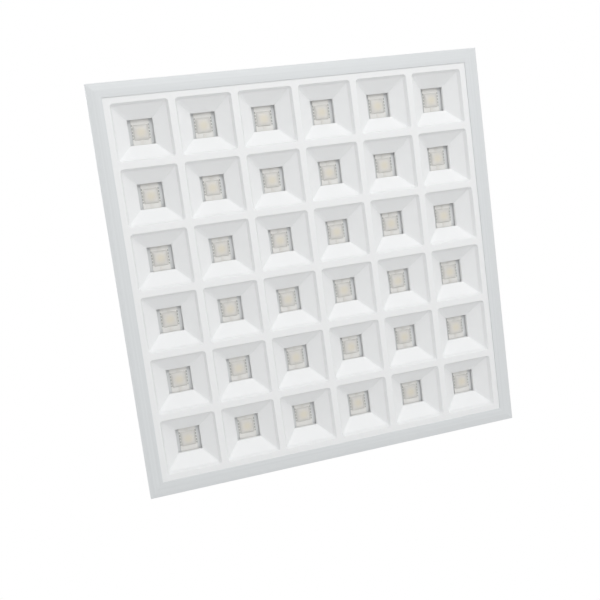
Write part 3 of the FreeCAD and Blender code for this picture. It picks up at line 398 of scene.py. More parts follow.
def frosted_acrylic(rgb, painted_glow_tint):
    """Injection-moulded frosted acrylic: cloudy and softly shining, with a faintly warm patch about 16 mm across
    painted in the middle of each lens, painted light for the yellow phosphor seen blurred through it."""
    material, tree, shader, place = new_material("frosted acrylic", rgb, 0.36, IOR=1.49, Transmission_Weight=0.12)
    flat = add_node(tree, "ShaderNodeVectorMath", {"operation": "MULTIPLY", 1: (1.0, 1.0, 0.0)},
                    {0: from_lens_centre(tree, place)})
    away = add_node(tree, "ShaderNodeVectorMath", {"operation": "LENGTH"}, {0: flat})
    # painted light: the phosphor's warm tint, strongest at each lens's middle, in place of the light source seen
    # through the lens
    painted_glow_mask = add_node(tree, "ShaderNodeMapRange", {"interpolation_type": "SMOOTHSTEP", "From Min": 1.0 * MM,
                                                 "From Max": 11.0 * MM, "To Min": 1.0, "To Max": 0.0},
                    {"Value": away.outputs["Value"]})
    tone = add_node(tree, "ShaderNodeMix", {"data_type": "RGBA", 6: (*rgb, 1.0), 7: (*painted_glow_tint, 1.0)},
                    {0: painted_glow_mask})
    frost = add_node(tree, "ShaderNodeTexNoise", {"Scale": 1.0 / (0.9 * MM), "Detail": 2.0}, {"Vector": place})
    bump = add_node(tree, "ShaderNodeBump", {"Strength": 0.5, "Distance": 0.06 * MM}, {"Height": frost})
    plug_in(tree, shader, Base_Color=tone.outputs[2], Normal=bump)
    return material


def galvanised_sheet(name, rgb):
    """Hot-dip galvanised steel: flat zinc crystals about 4 mm across, each with its own grey and gloss."""
    material, tree, shader, place = new_material(name, rgb, 0.38, 1.0)
    crystals = add_node(tree, "ShaderNodeTexVoronoi", {"Scale": 1.0 / (4.0 * MM), "Randomness": 1.0},
                        {"Vector": place})
    split = add_node(tree, "ShaderNodeSeparateColor", {}, {0: crystals.outputs["Color"]})
    tone = add_node(tree, "ShaderNodeMapRange", {"To Min": 0.74, "To Max": 1.08}, {"Value": split})
    shade = add_node(tree, "ShaderNodeVectorMath", {"operation": "SCALE", 0: rgb}, {"Scale": tone})
    gloss = add_node(tree, "ShaderNodeMapRange", {"To Min": 0.32, "To Max": 0.46}, {"Value": split.outputs[1]})
    plug_in(tree, shader, Base_Color=shade, Roughness=gloss)
    return material


def white_board(rgb):
    """White solder mask over copper on aluminium: the tracks stand up as faint bands, and a row of grey dashes,
    painted shade for slots where the boards were parted, runs down each side of a lens."""
    material, tree, shader, place = new_material("white solder mask", rgb, 0.35)
    axes = add_node(tree, "ShaderNodeSeparateXYZ", {}, {0: from_lens_centre(tree, place)})
    across, along = axes.outputs[0], axes.outputs[1]
    either = add_node(tree, "ShaderNodeMath", {"operation": "ABSOLUTE"}, {0: across})
    edge = add_node(tree, "ShaderNodeMath", {"operation": "COMPARE", 1: 12.1 * MM, 2: 0.8 * MM}, {0: either})
    beside = add_node(tree, "ShaderNodeMath", {"operation": "COMPARE", 1: -1.0 * MM, 2: 10.5 * MM}, {0: along})
    # the painted dark slots are 3.4 mm long and stand 4.8 mm apart, counted from the cell's edge
    slot_pitch = 4.8 * MM
    steps = add_node(tree, "ShaderNodeMath",
                     {"operation": "MULTIPLY_ADD", 1: 1.0 / slot_pitch, 2: PITCH / 2 / slot_pitch}, {0: along})
    part = add_node(tree, "ShaderNodeMath", {"operation": "FRACT"}, {0: steps})
    dash = add_node(tree, "ShaderNodeMath", {"operation": "LESS_THAN", 1: 0.7}, {0: part})
    near = add_node(tree, "ShaderNodeMath", {"operation": "MULTIPLY"}, {0: edge, 1: beside})
    painted_slot_shade = add_node(tree, "ShaderNodeMath", {"operation": "MULTIPLY"}, {0: near, 1: dash})
    # painted shade: the grey of the dashes stands for the shade inside the slots
    tone = add_node(tree, "ShaderNodeMix", {"data_type": "RGBA", 6: (*rgb, 1.0), 7: (*linear("#B2B4B1"), 1.0)},
                    {0: painted_slot_shade})
    track = add_node(tree, "ShaderNodeMath", {"operation": "COMPARE", 1: -6.5 * MM, 2: 2.5 * MM}, {0: across})
    bump = add_node(tree, "ShaderNodeBump", {"Strength": 1.0, "Distance": 0.07 * MM}, {"Height": track})
    plug_in(tree, shader, Base_Color=tone.outputs[2], Normal=bump)
    return material


def lead_jackets():
    """PVC lead jackets, plain and half glossy: brown, green and blue in the box, red and black under the pan."""
    material, tree, shader, place = new_material("lead jackets", linear("#B23A2E"), 0.4)
    axes = add_node(tree, "ShaderNodeSeparateXYZ", {}, {0: place})
    across = add_node(tree, "ShaderNodeMapRange", {"From Min": -18.0 * MM, "From Max": 18.0 * MM},
                      {"Value": axes.outputs[1]})
    mains = add_node(tree, "ShaderNodeValToRGB", {}, {0: across})
    mains.color_ramp.interpolation = "CONSTANT"
    stops = mains.color_ramp.elements
    stops[0].color = (*linear("#7A4A2A"), 1.0)
    stops[1].position, stops[1].color = 0.34, (*linear("#5E9E3E"), 1.0)
    stops.new(0.66).color = (*linear("#2F62A8"), 1.0)
    in_box = add_node(tree, "ShaderNodeMath", {"operation": "GREATER_THAN", 1: 36.0 * MM}, {0: axes.outputs[2]})
    step = add_node(tree, "ShaderNodeMath", {"operation": "GREATER_THAN", 1: 255.5 * MM}, {0: axes.outputs[1]})
    low = add_node(tree, "ShaderNodeMix", {"data_type": "RGBA", 6: (*linear("#2A2A2C"), 1.0),
                                          7: (*linear("#B23A2E"), 1.0)}, {0: step})
    tone = add_node(tree, "ShaderNodeMix", {"data_type": "RGBA"},
                    {0: in_box, 6: low.outputs[2], 7: mains})
    plug_in(tree, shader, Base_Color=tone.outputs[2])
    return material


def driver_board():
    """Green solder mask on glass epoxy: the copper under it shows as lighter green areas and tracks with square
    corners, on a grid of 1.2 mm."""
    rgb = linear("#1D5632")
    material, tree, shader, place = new_material("green circuit board", rgb, 0.32)
    grid = add_node(tree, "ShaderNodeVectorMath", {"operation": "SNAP", 1: (1.2 * MM, 1.2 * MM, 1.0)}, {0: place})
    parts = []
    for stretch, least in (((70.0, 70.0, 1.0), 0.54), ((30.0, 420.0, 1.0), 0.56), ((420.0, 30.0, 1.0), 0.6)):
        scaled = add_node(tree, "ShaderNodeMapping", {"Scale": stretch}, {"Vector": grid})
        cloud = add_node(tree, "ShaderNodeTexNoise", {"Scale": 1.0, "Detail": 0.0}, {"Vector": scaled})
        parts.append(add_node(tree, "ShaderNodeMath", {"operation": "GREATER_THAN", 1: least}, {0: cloud}))
    copper = parts[0]
    for part in parts[1:]:
        copper = add_node(tree, "ShaderNodeMath", {"operation": "MAXIMUM"}, {0: copper, 1: part})
    tone = add_node(tree, "ShaderNodeMix", {"data_type": "RGBA", 6: (*rgb, 1.0), 7: (*linear("#2C6C41"), 1.0)},
                    {0: copper})
    bump = add_node(tree, "ShaderNodeBump", {"Strength": 1.0, "Distance": 0.05 * MM}, {"Height": copper})
    plug_in(tree, shader, Base_Color=tone.outputs[2], Normal=bump)
    return material


def wound_tape():
    """Yellow polyester tape over the winding: level wraps 1.2 mm apart stand out as fine ridges."""
    rgb = linear("#D9B23C")
    material, tree, shader, place = new_material("winding tape", rgb, 0.3)
    axes = add_node(tree, "ShaderNodeSeparateXYZ", {}, {0: place})
    wraps = add_node(tree, "ShaderNodeMath", {"operation": "PINGPONG", 1: 0.6 * MM}, {0: axes.outputs[2]})
    # a ridge stands out by a fifth of the 0.6 mm that the wraps run to
    bump = add_node(tree, "ShaderNodeBump", {"Strength": 1.0, "Distance": 0.2}, {"Height": wraps})
    plug_in(tree, shader, Normal=bump)
    return material


def make_finishes(colours):
    """One material for each slot of the record."""
    return {
        "frame_paint": satin_extrusion(tuple(colours.rim)),
        # moulded white ABS with a fine spark-eroded skin: matt, cool white, no visible grain at arm's length
        "louvre_plastic": grained("moulded white abs", tuple(colours.louvre), 0.5, 0.8, 0.02, 0.01),
        # powder coat keeps a slight orange peel of about 2 mm and a half gloss
        "pan_steel": grained("powder coat", tuple(colours.pan), 0.5, 2.0, 0.05, 0.02),
        # the same coat in white on the side that throws the light back; its white is partly painted light, lifting
        # the shade inside the pan
        "pan_inside": grained("white powder coat", tuple(colours.inside), 0.5, 2.0, 0.05, 0.01),
        # the box's own coat is a little glossier
        "box_steel": grained("powder coat on the box", tuple(colours.pan), 0.46, 2.0, 0.05, 0.02),
        "board_white": white_board(linear("#ECEBE8")),
        "lens_frosted": frosted_acrylic(tuple(colours.lens), tuple(colours.painted_glow_tint)),
        # phosphor in silicone: a matt, saturated yellow cushion
        "led_phosphor": grained("yellow phosphor", tuple(colours.phosphor), 0.6, 0.2, 0.01, 0.05),
        # zinc plate on turned and pressed steel: bright, faintly blue, slightly patchy
        "zinc_screw": grained("bright zinc plate", linear("#C9CCD0"), 0.28, 1.2, 0.01, 0.10, metallic=1.0),
        # blind rivets in bare aluminium: dull and soft, with a drawn skin
        "rivet_aluminium": grained("bare aluminium", linear("#C6C7C8"), 0.4, 0.8, 0.01, 0.08, metallic=1.0),
        "zinc_sheet": galvanised_sheet("galvanised sheet", linear("#B4B8BB")),
        # unfilled nylon keeps its own cream tint and is matt with a slight sheen
        "key_nylon": grained("natural nylon", linear("#E2E0D8"), 0.5, 1.0, 0.02, 0.03),
        # glass-filled nylon, black: the fibres leave the skin uneven
        "latch_nylon": grained("black nylon", linear("#1E1F21"), 0.45, 0.9, 0.03, 0.10),
        # the same in grey, more even
        "gland_nylon": grained("grey nylon", linear("#6A6D70"), 0.45, 0.9, 0.03, 0.06),
        # turned brass stays warm and bright inside the box
        "earth_brass": grained("turned brass", linear("#C9A45A"), 0.3, 0.5, 0.01, 0.10, metallic=1.0),
        # flame-retardant polyamide in the usual grey: smooth, half matt
        "terminal_grey": grained("grey polyamide", linear("#A9ACAE"), 0.45, 1.0, 0.02, 0.04),
        # the levers' orange polyamide is a little glossier than the block's
        "lever_orange": grained("orange polyamide", linear("#E07A2C"), 0.4, 1.0, 0.02, 0.04),
        # black polyamide of the switch and the small components: fine, dense skin
        "switch_black": grained("black polyamide", linear("#232426"), 0.42, 0.9, 0.02, 0.08),
        # the slider's white is bright and nearly free of grain
        "switch_white": grained("white polyamide", linear("#ECECE9"), 0.4, 0.9, 0.02, 0.02),
        # fish paper is a calendered board: matt, dark, with a faint fibre
        "insulator_film": grained("fish paper", linear("#3A3D40"), 0.55, 3.0, 0.04, 0.15, detail=6.0),
        "driver_board_green": driver_board(),
        # sintered ferrite is dark grey, dense and slightly rough
        "ferrite": grained("sintered ferrite", linear("#2C2D2F"), 0.5, 0.5, 0.03, 0.2),
        "winding_tape": wound_tape(),
        # a shrunk PVC sleeve is glossy and deep blue-black
        "capacitor_sleeve": grained("shrunk sleeve", linear("#1B2238"), 0.22, 4.0, 0.01, 0.1),
        # soft moulded rubber: deep black and matt
        "grommet_rubber": grained("moulded rubber", linear("#1A1A1A"), 0.65, 0.6, 0.02, 0.1),
        # connector nylon is creamy and fine-grained
        "connector_white": grained("connector nylon", linear("#E8E4D8"), 0.45, 0.8, 0.02, 0.03),
        "lead_jacket": lead_jackets(),
    }


# ---- the pieces -------------------------------------------------------------------

class TROFFER_OT_finishes(bpy.types.Operator):
    """Make every material and put it on the nodes that keep their own shape"""
    bl_idname = "troffer.finishes"
    bl_label = "Finishes"

    def execute(self, context):
        FINISHES.update(make_finishes(context.scene.troffer_colours))
        for item in frame["record"]["subparts"]:
            node = frame["nodes"][item["node"]]
            node.data.materials.clear()
            node.data.materials.append(FINISHES[item["material_slot"]])
        return {"FINISHED"}


class TROFFER_OT_rim(bpy.types.Operator):
    """Model the four mitred lengths of the extruded rim"""
    bl_idname = "troffer.rim"
    bl_label = "Rim"

    def execute(self, context):
        shape = context.scene.troffer_shape
        half = cad_high.x
        # the rail's section: a flange as wide as the rim, and the channel above its outer part
        flange, thick, channel, top = shape.flange_width, 1.5 * MM, 12.7 * MM, RAIL_TOP * MM
        outline = [(-half, 0), (flange - half, 0), (flange - half, thick), (channel - half, thick),
                   (channel - half, top), (-half, top)]
        for quarter, side in enumerate(("rear", "right", "front", "left")):
            bm = bmesh.new()
            ends = [bm.verts.new((-half, y, z)) for y, z in outline]
            bm.faces.new(ends)
            rounded = round_off(bm, ends, shape.edge_round, 3)
            grown = bmesh.ops.extrude_face_region(bm, geom=[rounded[0].link_faces[0]])["geom"]
            bmesh.ops.translate(bm, vec=(2 * half, 0, 0), verts=only(BMVert, grown))
            for hand in (-1, 1):
                cut = bmesh.ops.bisect_plane(bm, geom=bm.verts[:] + bm.edges[:] + bm.faces[:], dist=1e-7,
                                             plane_co=(0, 0, 0), plane_no=(hand, 1, 0), clear_outer=True)
                bmesh.ops.contextual_create(bm, geom=only(BMEdge, cut["geom_cut"]))
            along = bm.loops.layers.uv.new("along")
            for face in bm.faces:
                for loop in face.loops:
                    loop[along].uv = (loop.vert.co.x + quarter, loop.vert.co.y + loop.vert.co.z)
            bmesh.ops.rotate(bm, cent=(0, 0, 0), matrix=Matrix.Rotation(quarter * math.pi / 2, 3, "Z"),
                             verts=bm.verts[:])
            finish_piece(f"rim_{side}", bm, "frame_paint", [f"frame_rail_{side}"], sharp=40.0)
        return {"FINISHED"}


class TROFFER_OT_louvre(bpy.types.Operator):
    """Model the white moulding of thirty-six deep cells, each with its rounded lip"""
    bl_idname = "troffer.louvre"
    bl_label = "Louvre"

    def execute(self, context):
        shape = context.scene.troffer_shape
        front, wall = LOUVRE_FACE * MM, shape.wall
        back, window_level, neck_end = front + wall, front + shape.cell_depth, NECK_END * MM
        mouth, corner, window = shape.mouth_half, shape.mouth_corner, shape.window_half
        lip, draft = front + shape.lip_depth, shape.lip_draft
        small = 0.6 * MM
        bm = bmesh.new()
        tile = PITCH / 2
        cell_front = [
            (window + wall, small + wall, neck_end),
            (window, small, neck_end),
            (window, small, window_level + 0.1 * MM),
            (window + 0.5 * MM, small + 0.3 * MM, window_level - 0.45 * MM),
            (mouth - draft - 0.5 * MM, corner - draft - 0.3 * MM, lip + 0.35 * MM),
            (mouth - draft, corner - draft, lip - 0.35 * MM),
            (mouth, corner, front + 0.5 * MM),
            (mouth + 0.12 * MM, corner + 0.12 * MM, front + 0.14 * MM),
            (mouth + 0.55 * MM, corner + 0.55 * MM, front),
            (mouth + 1.0 * MM, corner + 1.0 * MM, front),
            (tile, 0.0, front),
        ]
        cell_back = [
            (window + wall, small + wall, neck_end),
            (window + wall, small + wall, window_level),
            (mouth + wall / 3, corner + wall / 3, lip + wall),
            (mouth + wall / 3, corner + wall / 3, back),
            (tile, 0.0, back),
        ]
        for x in COLUMNS:
            for y in COLUMNS:
                for profile in (cell_front, cell_back):
                    stack(bm, (x, y), profile, segments=5, ends=False)
        bmesh.ops.remove_doubles(bm, verts=bm.verts[:], dist=1e-6)
        # the margin round the cells, and the skirt that stands behind it
        cells, plate, skirt = CELLS * tile, 284.5 * MM, 282.0 * MM
        for level, rings in ((front, ((plate, front),)),
                             (back, ((skirt - wall, back), (skirt - wall, neck_end), (skirt, neck_end),
                                     (skirt, back), (plate, back), (plate, front)))):
            edges = [edge for edge in bm.edges
                     if edge.is_boundary and all(abs(vertex.co.z - level) < 1e-6 for vertex in edge.verts)
                     and max(abs(part) for vertex in edge.verts for part in vertex.co.xy) < cells + MM]
            reach = cells
            for half, z in rings:
                grown = bmesh.ops.extrude_edge_only(bm, edges=edges)["geom"]
                for vertex in only(BMVert, grown):
                    vertex.co = (vertex.co.x * half / reach, vertex.co.y * half / reach, z)
                edges = only(BMEdge, grown)
                reach = half
        bmesh.ops.remove_doubles(bm, verts=bm.verts[:], dist=1e-6)
        loose = [edge for edge in bm.edges if not edge.is_manifold]
        if loose:
            raise RuntimeError(f"the louvre isn't closed at {len(loose)} edges")
        weigh_normals(finish_piece("louvre", bm, "louvre_plastic", ["louvre_grid"], sharp=40.0))
        return {"FINISHED"}


class TROFFER_OT_light_source(bpy.types.Operator):
    """Model the frosted lens strips and the light sources behind them"""
    bl_idname = "troffer.light_source"
    bl_label = "Light source"

    def execute(self, context):
        shape = context.scene.troffer_shape
        side = shape.lens_half
        for number, x in enumerate(COLUMNS, start=1):
            bm = bmesh.new()
            for y in COLUMNS:
                # the hollow round the light source, then the lens's flank and its low dome: inset, corner, level
                stack(bm, (x, y), mm_levels([(4.5, 0.6, 29.1), (4.5, 0.6, BOARD_FACE)]) + [
                    (side - inset * MM, corner * MM, level * MM) for inset, corner, level in (
                        (0.0, 2.0, BOARD_FACE), (0.3, 2.2, 29.9), (1.0, 2.8, 29.1), (2.2, 3.4, 28.3),
                        (3.8, 3.6, 27.7), (5.6, 3.6, 27.35), (7.6, 3.0, 27.22))])
            for low, high in zip(COLUMNS, COLUMNS[1:]):
                box(bm, (x - 2.0 * MM, low + side - 0.6 * MM, 29.7 * MM),
                    (x + 2.0 * MM, high - side + 0.6 * MM, BOARD_FACE * MM))
            finish_piece(f"lens_{number}", bm, "lens_frosted", [f"lens_strip_{number}"])
        bm = bmesh.new()
        for x in COLUMNS:
            for y in COLUMNS:
                stack(bm, (x, y), mm_levels([(1.75, 0.3, 30.38), (1.75, 0.3, 29.8), (1.6, 0.3, 29.72),
                                             (1.4, 0.3, 29.74)]), segments=2)
        finish_piece("light_sources", bm, "led_phosphor", ["led_chips"])
        return {"FINISHED"}


class TROFFER_OT_pan(bpy.types.Operator):
    """Model the pressed back pan with its folds and stiffening ribs"""
    bl_idname = "troffer.pan"
    bl_label = "Back pan"

    def execute(self, context):
        bm = bmesh.new()
        # half side, corner radius and level, from the inner face down the wall, round the flange and up the outside
        stack(bm, (0, 0), mm_levels([
            (282.2, 5.2, 32.0), (282.77, 5.77, 31.77), (283.0, 6.0, 31.2), (283.0, 6.0, 11.6),
            (283.47, 6.47, 10.47), (284.6, 7.6, RAIL_TOP), (295.3, 2.0, RAIL_TOP), (295.5, 2.2, 10.15),
            (295.5, 2.2, 10.65), (295.3, 2.0, FLANGE_TOP), (284.6, 7.6, FLANGE_TOP), (284.03, 7.03, 11.03),
            (283.8, 6.8, 11.6), (283.8, 6.8, 31.2), (283.33, 6.33, 32.33), (282.2, 5.2, PAN_TOP)]), segments=6)
        # ribs: the line that each lies on, and its ends
        for hand in (-1, 1):
            for x, low, high in ((-91.0, 62.0, 243.5), (91.0, 62.0, 243.5), (0.0, 62.0, 162.8),
                                 (-182.0, 22.4, 162.8), (182.0, 22.4, 162.8)):
                middle, half = (x * MM, hand * (low + high) / 2 * MM), (high - low) / 2
                stack(bm, middle, mm_levels([
                    (7.6, half + 0.6, 7.5, 32.78), (7.1, half + 0.1, 7.0, 32.9), (6.6, half - 0.4, 6.5, 33.25),
                    (6.1, half - 0.9, 6.0, 33.7), (5.5, half - 1.5, 5.4, 33.94), (4.6, half - 2.4, 4.5, 34.0)]),
                    segments=6)
        bmesh.ops.recalc_face_normals(bm, faces=bm.faces[:])
        for face in bm.faces:
            middle = face.calc_center_median()
            faces_in = face.normal.dot(middle * Vector((1, 1, 0))) <= 0
            face.material_index = int(11.0 * MM < middle.z < 32.1 * MM and faces_in)
        shell = finish_piece("back_shell", bm, "pan_steel", ["back_pan"], sharp=50.0)
        # the inner faces take the whiter coat, partly painted light that lifts the shade inside the pan
        shell.data.materials.append(FINISHES["pan_inside"])
        return {"FINISHED"}


def screw(bm, place, seat, radius=3.2, height=1.8, shank=4.6):
    """A pan-head screw with a cross recess, its head's underside at the seat. Its sizes are in mm."""
    x, y = place
    top = (seat + height) * MM
    arm, reach, depth, narrowing = 0.42, 1.55, 1.1, 0.72
    cross = bmesh.ops.create_grid(bm, x_segments=3, y_segments=3, size=1.0)["verts"]
    for vertex in cross:
        for axis in (0, 1):
            value = vertex.co[axis]
            vertex.co[axis] = math.copysign(reach if abs(value) > 0.9 else arm, value)
    bmesh.ops.scale(bm, vec=(MM, MM, 1.0), verts=cross)
    bmesh.ops.translate(bm, vec=(x, y, top), verts=cross)
    corners = [vertex for vertex in cross
               if min(abs(vertex.co.x - x), abs(vertex.co.y - y)) > (reach - 0.1) * MM]
    bmesh.ops.delete(bm, geom=corners, context="VERTS")
    cross = [vertex for vertex in cross if vertex.is_valid]
    faces = list(dict.fromkeys(face for vertex in cross for face in vertex.link_faces))
    sunk = bmesh.ops.extrude_face_region(bm, geom=faces)["geom"]
    bmesh.ops.delete(bm, geom=faces, context="FACES")
    for vertex in only(BMVert, sunk):
        vertex.co = (x + (vertex.co.x - x) * narrowing, y + (vertex.co.y - y) * narrowing, top - depth * MM)
    made = lathe(bm, (x, y, seat * MM), [
        (1.9, height), (2.3, height - 0.12), (2.9, height - 0.55), (radius, height - 1.15), (radius, 0.0),
        (1.45, 0.0), (1.45, -shank), (0.0, -shank)], steps=20)
    fill_between(bm, [[vertex for vertex in loop if vertex.is_valid and abs(vertex.co.z - top) < 1e-7]
                      for loop in (made, cross)])


def rivet(bm, place, seat, radius=3.0, height=0.9, shank=1.6, depth=1.6):
    """A blind rivet: a low dome with the broken end of its mandrel in the middle. Its sizes are in mm."""
    profile = [(0.0, height - 0.35), (0.62, height - 0.35), (0.8, height - 0.1), (1.25, height),
               (radius * 0.7, height * 0.8), (radius * 0.93, height * 0.38), (radius, 0.0), (shank, 0.0),
               (shank, -depth), (0.0, -depth)]
    lathe(bm, (place[0], place[1], seat * MM), profile, steps=20)


def around(places):
    """The places on one side of the light, turned to all four."""
    return [turned for x, y in places for turned in ((x, y), (-y, x), (-x, -y), (y, -x))]


class TROFFER_OT_fasteners(bpy.types.Operator):
    """Model the screws and blind rivets"""
    bl_idname = "troffer.fasteners"
    bl_label = "Fasteners"

    def execute(self, context):
        flange = around([(291.15 * MM, PITCH * step) for step in (-2, 0, 2)])
        louvre = around([(PITCH * 2, 0.0), (PITCH * 2, PITCH * 2)])
        tray = [(114.0 * MM * i, 39.0 * MM * j) for i, j in CORNERS]
        for name, places, seat in (("flange_screw", flange, FLANGE_TOP), ("louvre_screw", louvre, PAN_TOP),
                                   ("tray_screw", tray, BOX_FLOOR)):
            bm = bmesh.new()
            for place in places:
                screw(bm, place, seat)
            finish_piece(name + "_heads", bm, "zinc_screw", [name + "s"])
        boards = [(x + 9.0 * MM, PITCH * step) for x in COLUMNS for step in (-2, -1, 1, 2)]
        brackets = [(HANGER_X * MM * i, (HANGER_Y * j + 24.0 * k) * MM) for i, j in CORNERS for k in (-1, 1)]
        for name, places, seat, sizes in (
                ("board_rivet", boards, PAN_TOP, {"depth": 3.2}),
                ("bracket_rivet", brackets, FOOT_TOP, {"depth": 2.6}),
                ("clip_rivet", around([(CLIP_X * MM, 0.0)]), 34.2,
                 {"radius": 4.4, "height": 1.2, "shank": 2.0, "depth": 2.6})):
            bm = bmesh.new()
            for place in places:
                rivet(bm, place, seat, **sizes)
            finish_piece(name + "_heads", bm, "rivet_aluminium", [name + "s"])
        return {"FINISHED"}


def round_hole(bm, face, centre, radius, steps=24):
    """Opens a round hole in a flat upward face."""
    around_face = list(face.edges)
    bmesh.ops.delete(bm, geom=[face], context="FACES_ONLY")
    ring = bmesh.ops.create_circle(bm, segments=steps, radius=radius, matrix=Matrix.Translation(centre))["verts"]
    ring_edges = list(dict.fromkeys(edge for vertex in ring for edge in vertex.link_edges))
    bmesh.ops.bridge_loops(bm, edges=around_face + ring_edges)


def folded_strip(bm, path, width, radius):
    """A ribbon of faces along a path of (along, up) points in mm, with its corners rounded to a fold."""
    verts = [bm.verts.new((0.0, along * MM, up * MM)) for along, up in path]
    for pair in zip(verts, verts[1:]):
        bm.edges.new(pair)
    round_off(bm, verts[1:-1], radius * MM, 4)
    bmesh.ops.translate(bm, vec=(-width / 2 * MM, 0, 0), verts=bm.verts[:])
    grown = bmesh.ops.extrude_edge_only(bm, edges=bm.edges[:])["geom"]
    bmesh.ops.translate(bm, vec=(width * MM, 0, 0), verts=only(BMVert, grown))


class TROFFER_OT_hangers(bpy.types.Operator):
    """Model the four hanger brackets and the four clips that swing over the ceiling's bars"""
    bl_idname = "troffer.hangers"
    bl_label = "Hangers and clips"

    def execute(self, context):
        bridge_top, arm_top = 44.8, 40.0
        for number, (i, j) in enumerate(CORNERS, start=1):
            bm = bmesh.new()
            folded_strip(bm, [(-30.0, FOOT_TOP), (-18.0, FOOT_TOP), (-18.0, bridge_top), (18.0, bridge_top),
                              (18.0, FOOT_TOP), (30.0, FOOT_TOP)], 16.0, 2.0)
            bridge = max(bm.faces, key=lambda face: (round(face.calc_center_median().z, 5), face.calc_area()))
            round_hole(bm, bridge, Vector((0, 0, bridge_top * MM)), 2.75 * MM)
            bmesh.ops.translate(bm, vec=(HANGER_X * MM * i, HANGER_Y * MM * j, 0), verts=bm.verts[:])
            face_up(bm)
            piece = finish_piece(f"hanger_{number}", bm, "zinc_sheet", [f"hanger_bracket_{number}"],
                                 recalculate=False)
            give_thickness(piece, 1.2)
            soften(piece, 0.2, 1)
        for number in range(1, 5):
            bm = bmesh.new()
            folded_strip(bm, [(-9.0, FOOT_TOP), (10.0, FOOT_TOP), (10.0, arm_top), (42.0, arm_top)], 18.0, 1.6)
            bmesh.ops.translate(bm, vec=(CLIP_X * MM, 0, 0), verts=bm.verts[:])
            tip = [edge for edge in bm.edges if all(vertex.co.y > 41.9 * MM for vertex in edge.verts)]
            heel = [edge for edge in bm.edges if all(vertex.co.y < -8.9 * MM for vertex in edge.verts)]
            for ends, offset in ((tip, 4.0), (heel, 7.0)):
                round_off(bm, [vertex for edge in ends for vertex in edge.verts], offset * MM, 5)
            bmesh.ops.rotate(bm, cent=(0, 0, 0), matrix=Matrix.Rotation((number - 1) * math.pi / 2, 3, "Z"),
                             verts=bm.verts[:])
            face_up(bm)
            piece = finish_piece(f"bar_clip_{number}", bm, "zinc_sheet", [f"tbar_clip_{number}"],
                                 f"clip_{number}", recalculate=False)
            give_thickness(piece, 1.0)
            soften(piece, 0.15, 1)
        return {"FINISHED"}


class TROFFER_OT_wiring_box(bpy.types.Operator):
    """Model the wiring box, its hinged lid and the quarter-turn latch"""
    bl_idname = "troffer.wiring_box"
    bl_label = "Wiring box"

    def execute(self, context):
        softened_copy("tray", "driver_tray", "box_steel", 0.25)
        # lid: a plate with three skirts
        bm = bmesh.new()
        left, rear, front, top = -126.3 * MM, -45.9 * MM, 47.3 * MM, LID_TOP * MM
        bm.faces.new([bm.verts.new(point) for point in
                      ((left, rear, top), (-left, rear, top), (-left, front, top), (left, front, top))])
        skirted = [edge for edge in bm.edges if not all(vertex.co.y < rear + MM for vertex in edge.verts)]
        grown = bmesh.ops.extrude_edge_only(bm, edges=skirted)["geom"]
        bmesh.ops.translate(bm, vec=(0, 0, -4.8 * MM), verts=only(BMVert, grown))
        folds = [edge for edge in bm.edges if len(edge.link_faces) == 2]
        round_off(bm, folds, 1.4 * MM, 4, "EDGES")
        face_up(bm)
        lid = finish_piece("lid_plate", bm, "box_steel", ["driver_lid"], "lid", sharp=60.0, recalculate=False)
        give_thickness(lid, 0.8)
        # rolled knuckles of the lid, with the strips that join them to it
        bm = bmesh.new()
        hinge_y, hinge_z, knuckle = HINGE_Y * MM, HINGE_Z * MM, 11.9
        for step in (-1, 1):
            x = 24.4 * step * MM
            lathe(bm, (x, hinge_y, hinge_z), [(1.05, -knuckle), (2.0, -knuckle), (2.2, 0.2 - knuckle),
                                              (2.2, knuckle - 0.2), (2.0, knuckle), (1.05, knuckle)],
                  steps=28, matrix=ACROSS_X)
            box(bm, (x - knuckle * MM, hinge_y, 61.12 * MM), (x + knuckle * MM, rear + 0.2 * MM, 61.88 * MM))
        finish_piece("lid_knuckles", bm, "box_steel", body="lid")
        bm = bmesh.new()
        lathe(bm, (0, hinge_y, hinge_z), [(0.0, -61.8), (0.8, -61.8), (1.0, -61.6), (1.0, 61.8), (1.8, 61.8),
                                          (1.8, 62.4), (1.4, 62.8), (0.0, 62.8)], steps=24, matrix=ACROSS_X)
        finish_piece("hinge_rod", bm, "zinc_screw", ["hinge_pin"])
        # latch: a fluted knob with a coin slot, its shaft and its cam
        bm = bmesh.new()
        knob_top, axis = 65.6, Vector((0, LATCH_Y * MM))
        knob = lathe(bm, (*axis, 0), [(6.9, knob_top), (7.5, 65.4), (7.8, 64.8), (8.0, 62.3), (7.8, 62.1),
                                      (2.5, 62.1), (2.5, 54.6), (0.0, 54.6)], steps=48)
        for vertex in knob:
            away = vertex.co.xy - axis
            if round(math.degrees(math.atan2(away.y, away.x)) / 7.5) % 4 == 0 and away.length > 7.4 * MM:
                vertex.co.xy = axis + away * 0.955
        rim = [vertex for vertex in knob if vertex.co.z > (knob_top - 0.01) * MM]
        slot = rectangle(bm, axis, 5.6 * MM, 1.0 * MM, knob_top * MM)
        mouth = slot[0].link_faces[0]
        sunk = bmesh.ops.extrude_face_region(bm, geom=[mouth])["geom"]
        bmesh.ops.delete(bm, geom=[mouth], context="FACES_ONLY")
        bmesh.ops.translate(bm, vec=(0, 0, -1.75 * MM), verts=only(BMVert, sunk))
        fill_between(bm, [rim, slot])
        stack(bm, (3.5 * MM, axis.y), mm_levels([(6.5, 3.0, 1.2, 54.6), (6.5, 3.0, 1.2, 55.8)]))
        finish_piece("latch_knob", bm, "latch_nylon", ["lid_latch"], "latch")
        return {"FINISHED"}


